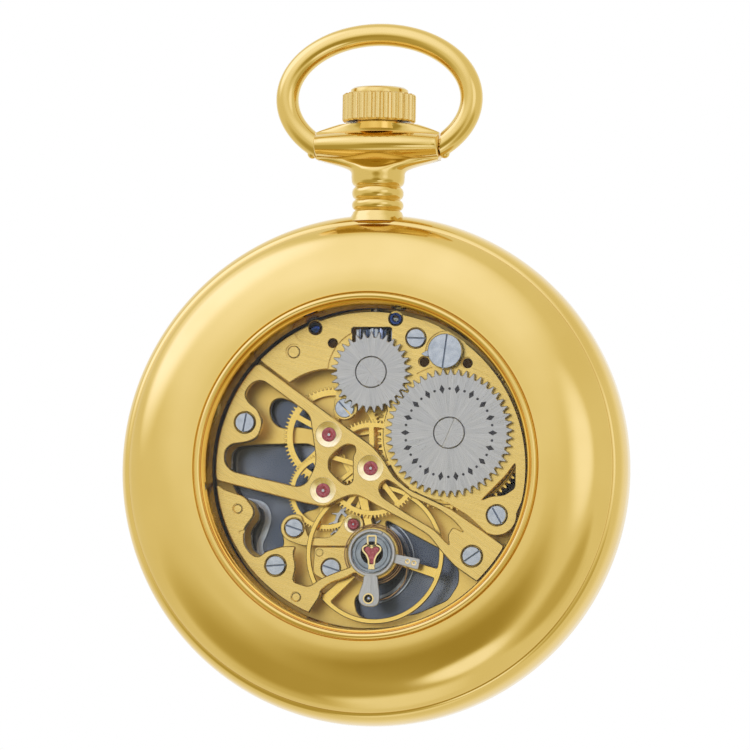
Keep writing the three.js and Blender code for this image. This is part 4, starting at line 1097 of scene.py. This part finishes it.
# ---- going train -------------------------------------------------------------------------------------
FOURTH_TEETH, FOURTH_LEAVES, THIRD_TEETH, THIRD_LEAVES = 80, 10, 75, 10
CENTRE_TEETH, CENTRE_LEAVES, BARREL_TEETH, ESCAPE_LEAVES = 80, 12, 78, 8
THIRD_PHASE = mesh_phase(FOURTH, THIRD, FOURTH_LEAVES, 0, THIRD_TEETH)
CENTRE_PHASE = mesh_phase(THIRD, CENTRE, THIRD_LEAVES, 0, CENTRE_TEETH)
BARREL_PHASE = mesh_phase(CENTRE, BARREL, CENTRE_LEAVES, 0, BARREL_TEETH)
ESCAPE_LEAF_PHASE = mesh_phase(FOURTH, ESCAPE, FOURTH_TEETH, 0, ESCAPE_LEAVES)


def arbor_rod(radius, low, shoulder, pivot=0.14, top=2.93):
    profile = [(0, low), (radius, low), (radius, shoulder - 0.06), (pivot, shoulder), (pivot, top),
               (0, top)]
    return revolved(profile, 32)


def wheel(name, node, body, place, teeth, root, tip, phase, levels, windows, leaves, rod):
    """A toothed rim on spokes with its leaves and arbor."""
    holes = crossings(*windows)
    disc = slab(gear(teeth, root, tip, phase), *levels, holes=holes, bevel=0.02)
    count, leaf_root, leaf_tip, leaf_phase, leaf_low, leaf_high = leaves
    pinion = slab(gear(count, leaf_root, leaf_tip, leaf_phase), leaf_low, leaf_high, bevel=0.02)
    hub = revolved([(0, levels[0] - 0.05), (windows[1] * 0.7, levels[0] - 0.05),
                    (windows[1] * 0.7, levels[1] + 0.08), (0, levels[1] + 0.08)], 48)
    parts = [(disc, GILT_WHEEL), (hub, GILT_WHEEL), (pinion, PLAIN_STEEL), (arbor_rod(*rod), PLAIN_STEEL)]
    piece(name, parts, body, place=place, replaces=[node])


def going_train():
    wheel("center_wheel_rim", "center_wheel", "center", CENTRE, CENTRE_TEETH, 4.55, 4.84, CENTRE_PHASE,
          (1.9, 2.05), (5, 1.3, 4.08, 0.5, 20), (CENTRE_LEAVES, 0.9, 1.24, 0, 0.8, 1.35),
          (0.33, -1.9, 2.5))
    wheel("third_wheel_rim", "third_wheel", "third", THIRD, THIRD_TEETH, 4.62, 4.92, THIRD_PHASE,
          (0.3, 0.45), (5, 0.9, 4.02, 0.55, 8), (THIRD_LEAVES, 0.44, 0.64, 0, 1.75, 2.2),
          (0.25, -1.1, 2.5))
    wheel("fourth_wheel_rim", "fourth_wheel", "fourth", FOURTH, FOURTH_TEETH, 3.64, 3.88, 0, (0.65, 0.8),
          (5, 0.9, 3.2, 0.42, 40), (FOURTH_LEAVES, 0.52, 0.76, 0, 0.2, 0.6), (0.22, -1.1, 2.5))


def mainspring_barrel():
    rim = slab(gear(BARREL_TEETH, 7.1, 7.46, BARREL_PHASE), 0.9, 1.25, holes=[circle((0, 0), 6.6, 128)],
               bevel=0.02)
    drum = [(1.3, 1.3), (6.5, 1.3), (6.5, -0.18), (6.88, -0.18), (6.88, 1.4), (6.8, 1.48), (6.3, 1.5),
            (6.25, 1.44), (6.15, 1.44), (6.1, 1.5), (1.35, 1.5), (1.3, 1.45)]
    piece("barrel_drum", [(rim, GILT_WHEEL), (revolved(drum, 128, closed=True), GILT_WHEEL)], "barrel",
          place=BARREL, replaces=["mainspring_barrel"])


def escape_wheel():
    teeth = 15
    outline = []
    for i in range(teeth):
        start = i * 360 / teeth
        for turn, radius in ((0, 2.05), (4, 2.2), (7.5, 2.45), (8.6, 2.57), (11.5, 2.6), (11, 2.45),
                             (9.2, 2.25), (8.2, 2.08)):
            outline.append(polar_point(0, 0, radius, start + turn))
    disc = slab(outline, 0, 0.2, holes=crossings(4, 0.6, 1.72, 0.3, 45, 0.12), bevel=0.02)
    pinion = slab(gear(ESCAPE_LEAVES, 0.28, 0.48, ESCAPE_LEAF_PHASE), 0.5, 0.9, bevel=0.02)
    parts = [(disc, PLAIN_STEEL), (pinion, PLAIN_STEEL),
             (arbor_rod(0.18, -1.1, 1.0, 0.1, 1.2), PLAIN_STEEL)]
    piece("escape_wheel_disc", parts, "escape", place=ESCAPE, replaces=["escape_wheel"])


def pallet_fork():
    lever = [
        (3.05, -0.1), (3.05, -0.32), (2.6, -0.3), (1.9, -0.42), (0.3, -0.45), (-0.3, -0.4), (-0.6, 0),
        (-1.25, 0.95), (-1.3, 1.25), (-1.06, 1.18), (-0.6, 0.45), (0, 0.15), (0.6, 0.02), (1.45, -0.04),
        (1.9, -0.16), (2.3, -0.08), (2.6, 0.25), (3.05, 0.32), (3.05, 0.1), (2.85, 0)]
    parts = [(slab(softened(lever, 0.1), 0, 0.2, bevel=0.02), PLAIN_STEEL),
             (arbor_rod(0.16, -1.1, 1.0, 0.09, 1.2), PLAIN_STEEL)]
    for x, y, turn in ((-1.12, 0.98, 120), (1.66, -0.12, 80)):
        stone = slab([(-0.2, -0.08), (0.28, -0.08), (0.2, 0.08), (-0.2, 0.08)], 0.04, 0.24, bevel=0.01)
        parts.append((moved(stone, x, y, 0, turn), RUBY))
    for part, _ in parts:
        moved(part, turn=-3.7)
    piece("pallet_lever", parts, "pallet", place=PALLET, replaces=["pallet_fork"])


# ---- balance -----------------------------------------------------------------------------------------
def balance_wheel():
    windows = []
    for i in range(3):
        start = -17 + i * 120
        end = start + 120
        rim = arc((0, 0), 6.32, start + 4.5, end - 4.5, 40)
        hub = arc((0, 0), 0.85, end - 22, start + 22, 6)
        windows.append(softened(rim + hub, 0.35))
    rim = slab(circle((0, 0), 6.8, 160), 1.4, 1.75, holes=windows, bevel=0.06)
    roller = revolved([(0, 0.4), (0.7, 0.4), (0.7, 0.58), (0.66, 0.6), (0, 0.6)], 40)
    hub = revolved([(0, 1.35), (0.7, 1.35), (0.7, 1.85), (0.45, 1.95), (0.45, 2.33), (0.24, 2.35),
                    (0.24, 2.7), (0.1, 2.75), (0.1, 2.9), (0, 2.9)], 40)
    pin = moved(revolved([(0, 0), (0.1, 0), (0.1, 0.5), (0, 0.5)], 16), 0.5, 0.03)
    staff = revolved([(0, 0.02), (0.24, 0.02), (0.24, 1.5), (0, 1.5)], 24)
    parts = [(rim, GILT_WHEEL), (hub, PLAIN_STEEL), (roller, PLAIN_STEEL), (pin, RUBY),
             (staff, PLAIN_STEEL)]
    piece("balance_rim", parts, "balance", place=BALANCE, replaces=["balance_wheel"])


def hairspring():
    turns = 11
    steps = turns * 60
    path = [(*polar_point(0, 0, 0.75 + 2.25 * i / steps, 360 * turns * i / steps), 2.175)
            for i in range(steps + 1)]
    ribbon = [(-0.05, -0.07), (0.05, -0.07), (0.05, 0.07), (-0.05, 0.07)]
    tail = curve_through([(3.0, 0, 2.175), (3.26, -1.2, 2.175), (2.98, -2.82, 2.175),
                          (1.65, -4.15, 2.175), (0.3, -4.55, 2.175), (-0.1, -4.55, 2.175)], 10)
    parts = [(swept(path, ribbon), SPRING), (swept(tail, ribbon), SPRING)]
    piece("hairspring_coil", parts, "stud", place=BALANCE, replaces=["hairspring"])


def regulator():
    ring = [(1.04, 3.16), (1.92, 3.16), (1.92, 3.44), (1.86, 3.5), (1.62, 3.5), (1.58, 3.47), (1.54, 3.5),
            (1.12, 3.5), (1.04, 3.42)]
    base = [(1.04, 3.14), (2.3, 3.14), (2.3, 3.26), (1.04, 3.26)]
    arm = softened([(2.1, -0.42), (4.3, -0.52), (4.75, -0.5), (4.75, 0.5), (4.3, 0.52), (2.1, 0.42)],
                   0.12)
    blade = moved(slab(arm, 3.14, 3.26, bevel=0.03), turn=-13)
    parts = [(revolved(ring, 96, closed=True), GREY_STEEL),
             (revolved(base, 96, closed=True), SCREW_STEEL), (blade, STEEL)]
    for reach in (3.58, 4.22):
        dot = revolved([(0.13, 3.2), (0.27, 3.2), (0.27, 3.29), (0.22, 3.31), (0.13, 3.28)], 32,
                       closed=True)
        parts.append((moved(dot, *polar_point(0, 0, reach, -13)), BRIGHT_GILT))
    piece("index_ring", parts, "index", place=BALANCE, replaces=["regulator"])


def stud_carrier():
    ring = [(1.99, 3.32), (2.34, 3.32), (2.34, 3.58), (2.27, 3.65), (2.06, 3.65), (1.99, 3.58)]
    body = revolved(ring, 96, closed=True)
    notch = moved(slab([(1.7, -0.05), (2.8, -0.05), (2.8, 0.05), (1.7, 0.05)], 3.2, 3.9, bevel=0.001),
                  turn=62)
    eye = (-0.25, -4.45)
    outline = [(-0.75, -2.12), (0.62, -2.12), (0.7, -3.0), (0.82, -3.8), (0.86, -4.5), (0.72, -5.05),
               (0.2, -5.25), (-0.6, -5.2), (-1.15, -4.85), (-1.28, -4.3), (-1.05, -3.5), (-0.8, -2.9)]
    arm = slab(softened(outline, 0.4), 3.38, 3.64, holes=[circle(eye, 0.5, 48)], bevel=0.05)
    cup = moved(revolved([(0.4, 3.3), (0.53, 3.3), (0.53, 3.67), (0.4, 3.67)], 48, closed=True), *eye)
    # the floor under the eye is near-black: painted shade in the hole
    floor = moved(revolved([(0, 2.1), (0.38, 2.1), (0.38, 3.4), (0, 3.4)], 32), *eye)
    parts = [(carved(body, notch), STEEL), (arm, STEEL), (cup, BRIGHT_GILT), (floor, GAP_PAINTED_SHADE),
             (ball((*eye, 3.42), 0.27), SCREW_STEEL)]
    piece("stud_holder", parts, "stud", place=BALANCE, replaces=["stud_carrier"])


def shock_setting():
    """The gold lyre spring over the balance ruby."""
    level = 3.58
    # the well under the stone is near-black: painted shade of the jewel hole
    well = revolved([(0, 2.97), (1.0, 2.97), (1.0, 3.3), (0, 3.3)], 48)
    stone = slab(softened([(-0.8, 0.4), (-0.4, 0.66), (0, 0.42), (0.4, 0.66), (0.8, 0.4), (0.45, -0.2),
                           (0.14, -1.05), (-0.14, -1.05), (-0.45, -0.2)], 0.3), 3.3, level - 0.03,
                           bevel=0.04)
    heart = [(0, 0.5), (0.35, 0.74), (0.8, 0.58), (0.86, 0.24), (0.5, -0.22), (0.3, -0.7), (0.24, -1.15),
             (-0.24, -1.15), (-0.3, -0.7), (-0.5, -0.22), (-0.86, 0.24), (-0.8, 0.58), (-0.35, 0.74),
             (0, 0.5)]
    heart = curve_through([(x, y, level) for x, y in heart], 5)[:-1]
    square = softened([(-0.38, 0.68), (0.38, 0.68), (0.42, 1.66), (-0.42, 1.66)], 0.14)
    loop = [(x, y, level) for x, y in square]
    wire = [(-0.075, -0.05), (0.075, -0.05), (0.075, 0.05), (-0.075, 0.05)]
    foot = slab(softened([(-0.34, -1.6), (0.34, -1.6), (0.28, -1.1), (-0.28, -1.1)], 0.1), level - 0.08,
                level + 0.04, bevel=0.02)
    parts = [(well, GAP_PAINTED_SHADE), (stone, RUBY), (swept(heart, wire, closed=True), BRIGHT_GILT),
             (swept(loop, wire, closed=True), BRIGHT_GILT), (foot, BRIGHT_GILT)]
    piece("lyre_spring", parts, "case", place=BALANCE, replaces=["shock_spring"])


# ---- dial side ---------------------------------------------------------------------------------------
def dial():
    low, high = -2.45, -2.15
    front = [(1.22, low + 0.1), (1.22, low), (20.9, low), (21.15, low + 0.06), (21.15, low + 0.1)]
    back = [(1.22, low + 0.1), (1.22, high), (21.15, high), (21.15, low + 0.1)]
    parts = [(revolved(front + [(1.22, low + 0.1)], 192), ENAMEL),
             (revolved(back + [(1.22, low + 0.1)], 192), DIAL_BACK)]
    piece("dial_disc", parts, "case", replaces=["dial"])
    marks = []
    for minute in range(60):
        width = 0.22 if minute % 5 == 0 else 0.09
        length = 1.1 if minute % 5 == 0 else 0.7
        mark = [(-width / 2, 20.1 - length), (width / 2, 20.1 - length), (width / 2, 20.1),
                (-width / 2, 20.1)]
        marks.append((moved(slab(mark, low - 0.02, low + 0.03, bevel=0.004), turn=6 * minute), INK))
    track = revolved([(20.1, low - 0.015), (20.2, low - 0.015), (20.2, low + 0.03), (20.1, low + 0.03)],
                     192, closed=True)
    marks.append((track, INK))
    for hour in range(1, 13):
        text = bpy.data.curves.new("numeral", "FONT")
        text.body = str(hour)
        text.size = 4.2
        text.align_x = "CENTER"
        text.align_y = "CENTER"
        text.extrude = 0.02
        numeral = curve_mesh(text)
        angle = math.radians(30 * hour)
        x, y = 16.4 * math.sin(angle), 16.4 * math.cos(angle)
        numeral.transform(Matrix.Translation((-x, y, low - 0.005)) @ Matrix.Scale(-1, 4, (1, 0, 0)))
        marks.append((tidy(numeral), INK))
    piece("dial_print", marks, "case")


def dial_side_parts():
    """Steel strips under the lower plate that show through its openings; the S-shaped ribbon is a painted
    highlight, a reflection along the balance cock's edge.
    """
    level = -1.9
    flat = [(-0.3, -0.06), (0.3, -0.06), (0.3, 0.06), (-0.3, 0.06)]
    # painted highlight: a bright ribbon along the cock's S-shaped edge, standing in for a reflection
    ribbon = curve_through([(-13.0, -2.9, level), (-11.4, -3.4, level), (-10.9, -4.6, level),
                            (-11.3, -6.1, level), (-11.7, -7.3, level), (-11.4, -8.6, level)], 10)
    parts = [(swept(ribbon, flat), SCREW_STEEL)]
    for radius, half in ((3.7, 0.14), (4.2, 0.06)):
        curve = [(*polar_point(BALANCE[0] - 0.9, BALANCE[1] - 0.4, radius, turn), level)
                 for turn in range(-100, 71, 5)]
        parts.append((swept(curve, [(-half, -0.06), (half, -0.06), (half, 0.06), (-half, 0.06)]),
                      SCREW_STEEL))
    piece("dial_side_strips_and_painted_highlight", parts, "case")


def hand(name, node, body, length, tail, low, high, hub, bore, width, turn):
    """A leaf-shaped hand with a ridge-like chamfer."""
    blade = [
        (0, -tail), (width * 0.6, -tail * 0.6), (width * 0.35, -1), (width * 0.35, 1),
        (width, length * 0.55), (0, length), (-width, length * 0.55), (-width * 0.35, 1),
        (-width * 0.35, -1), (-width * 0.6, -tail * 0.6)]
    parts = [(moved(slab(softened(blade, 0.5), low, high, bevel=0.05), turn=turn), BLUED)]
    hub_section = [(bore, low - 0.01), (hub, low - 0.01), (hub, high + 0.01), (bore, high + 0.01)]
    parts.append((revolved(hub_section, 48, closed=True), BLUED))
    piece(name, parts, body, replaces=[node])


def hands():
    hand("hour_hand_leaf", "hour_hand", "hour_group", 9.5, 3, -2.95, -2.8, 1.6, 1.14, 0.75, 57)
    hand("minute_hand_leaf", "minute_hand", "minute_group", 15, 3.6, -3.5, -3.35, 1.25, 0.79, 0.6, -52)


# ---- CAD nodes that keep their shape -----------------------------------------------------------------
KEPT = {
    "mainspring": PLAIN_STEEL, "barrel_arbor": PLAIN_STEEL, "clutch_wheel": PLAIN_STEEL,
    "setting_lever": PLAIN_STEEL, "yoke": PLAIN_STEEL, "setting_wheel": PLAIN_STEEL,
    "minute_wheel": GILT_WHEEL, "cannon_pinion": PLAIN_STEEL, "hour_wheel": GILT_WHEEL,
}


def dress_kept_nodes():
    for name, material in KEPT.items():
        mesh = frame["nodes"][name].data
        mesh.materials.clear()
        mesh.materials.append(material)


# ---- stage -------------------------------------------------------------------------------------------
def floor():
    level = cad_low.z - 0.075
    size = 2.5
    points = [(-size, -size, level), (size, -size, level), (size, size, level), (-size, size, level)]
    mesh = bpy.data.meshes.new("floor")
    mesh.from_pydata(points, [], [(0, 1, 2, 3)])
    look = Finish("pale_floor", metallic=0.0)
    grain = look.noise(size=30, detail=3)
    mesh.materials.append(look.paint(look.ramp(grain, (0.3, grey(0.84)), (0.7, grey(0.88))),
                                     look.spread(grain, 0.5, 0.6)))
    made = bpy.data.objects.new("floor", mesh)
    bpy.context.scene.collection.objects.link(made)
    made.visible_glossy = False


# studio cards seen in the metal: azimuth from straight in front of the back, elevation, the angles
# where a card is full and where it ends, and its brightness
CARDS = [
    (-15, 45, 10, 50, 1.25),
    (-75, 40, 15, 35, 1.5),
    (60, -30, 10, 25, 0.55),
    (0, -22, 8, 26, 0.35),
    (-40, -50, 15, 45, 0.45),
    (38, 8, 5, 20, 1.25),
    (0, -80, 8, 24, 1.0),
    (18, -42, 5, 14, 1.25),
    (180, 0, 40, 70, 1.0),
]
AMBIENT = 0.85


def direction(azimuth, elevation):
    a, e = math.radians(azimuth), math.radians(elevation)
    return Vector((math.sin(a) * math.cos(e), -math.cos(a) * math.cos(e), math.sin(e)))


def studio():
    """A soft surrounding light: the darker it is, the warmer."""
    world = bpy.data.worlds.new("studio")
    bpy.context.scene.world = world
    world.use_nodes = True
    tree = world.node_tree
    place = tree.nodes.new("ShaderNodeTexCoord")
    level = None
    for azimuth, elevation, full, end, brightness in CARDS:
        dot = tree.nodes.new("ShaderNodeVectorMath")
        dot.operation = "DOT_PRODUCT"
        dot.inputs[1].default_value = direction(azimuth, elevation)
        tree.links.new(place.outputs["Generated"], dot.inputs[0])
        share = tree.nodes.new("ShaderNodeMapRange")
        share.interpolation_type = "SMOOTHSTEP"
        share.inputs["From Min"].default_value = math.cos(math.radians(end))
        share.inputs["From Max"].default_value = math.cos(math.radians(full))
        tree.links.new(dot.outputs["Value"], share.inputs["Value"])
        mix = tree.nodes.new("ShaderNodeMix")
        tree.links.new(share.outputs[0], mix.inputs[0])
        if level is None:
            mix.inputs[2].default_value = AMBIENT
        else:
            tree.links.new(level, mix.inputs[2])
        mix.inputs[3].default_value = brightness
        level = mix.outputs[0]
    colour = tree.nodes.new("ShaderNodeCombineColor")
    for i, exponent in enumerate((0.8, 1.0, 2.1)):
        power = tree.nodes.new("ShaderNodeMath")
        power.operation = "POWER"
        tree.links.new(level, power.inputs[0])
        power.inputs[1].default_value = exponent
        tree.links.new(power.outputs[0], colour.inputs[i])
    tree.links.new(colour.outputs[0], tree.nodes["Background"].inputs["Color"])
    for name, azimuth, elevation, distance, size, watts in (
            ("key_light", -35, 40, 0.7, 0.35, 2.2), ("fill_light", 45, 10, 0.8, 0.4, 1.2)):
        light = bpy.data.lights.new(name, "AREA")
        light.size = size
        light.energy = watts
        made = bpy.data.objects.new(name, light)
        bpy.context.scene.collection.objects.link(made)
        towards = direction(azimuth, elevation)
        made.location = CASE_CENTRE + towards * distance
        made.rotation_euler = towards.to_track_quat("Z", "Y").to_euler()
        made.visible_glossy = False
    bpy.context.scene.view_settings.view_transform = "Standard"


def camera():
    """A long lens, a little to the right of the back's axis and a little below it."""
    yaw, pitch, roll = math.radians(9.6), math.radians(-4.8), math.radians(0.9)
    distance, view_width = 0.75, 0.07333
    aim = Vector((-0.0002, CASE_CENTRE.y, CASE_CENTRE.z + 0.00935))
    back = Vector((math.sin(yaw) * math.cos(pitch), -math.cos(yaw) * math.cos(pitch), math.sin(pitch)))
    data = bpy.data.cameras.new("camera")
    data.lens = data.sensor_width * distance / view_width
    data.clip_start = 0.01
    made = bpy.data.objects.new("camera", data)
    bpy.context.scene.collection.objects.link(made)
    made.location = aim + back * distance
    turn = (-back).to_track_quat("-Z", "Y").to_matrix() @ Matrix.Rotation(roll, 3, "Z")
    made.rotation_euler = turn.to_euler()
    bpy.context.scene.camera = made


camera()
studio()
floor()
for build in (case_band, back_cover, front_bezel, front_crystal, back_glass, inner_ring, pendant, bow,
              crown, mainplate, train_bridge, barrel_bridge, balance_cock, low_bridges, plate_screws,
              blued_screws, jewels, winding_wheels, click, click_spring, keyless_work, going_train,
              mainspring_barrel, escape_wheel, pallet_fork, balance_wheel, hairspring, regulator,
              stud_carrier, shock_setting, dial, dial_side_parts, hands, dress_kept_nodes):
    build()
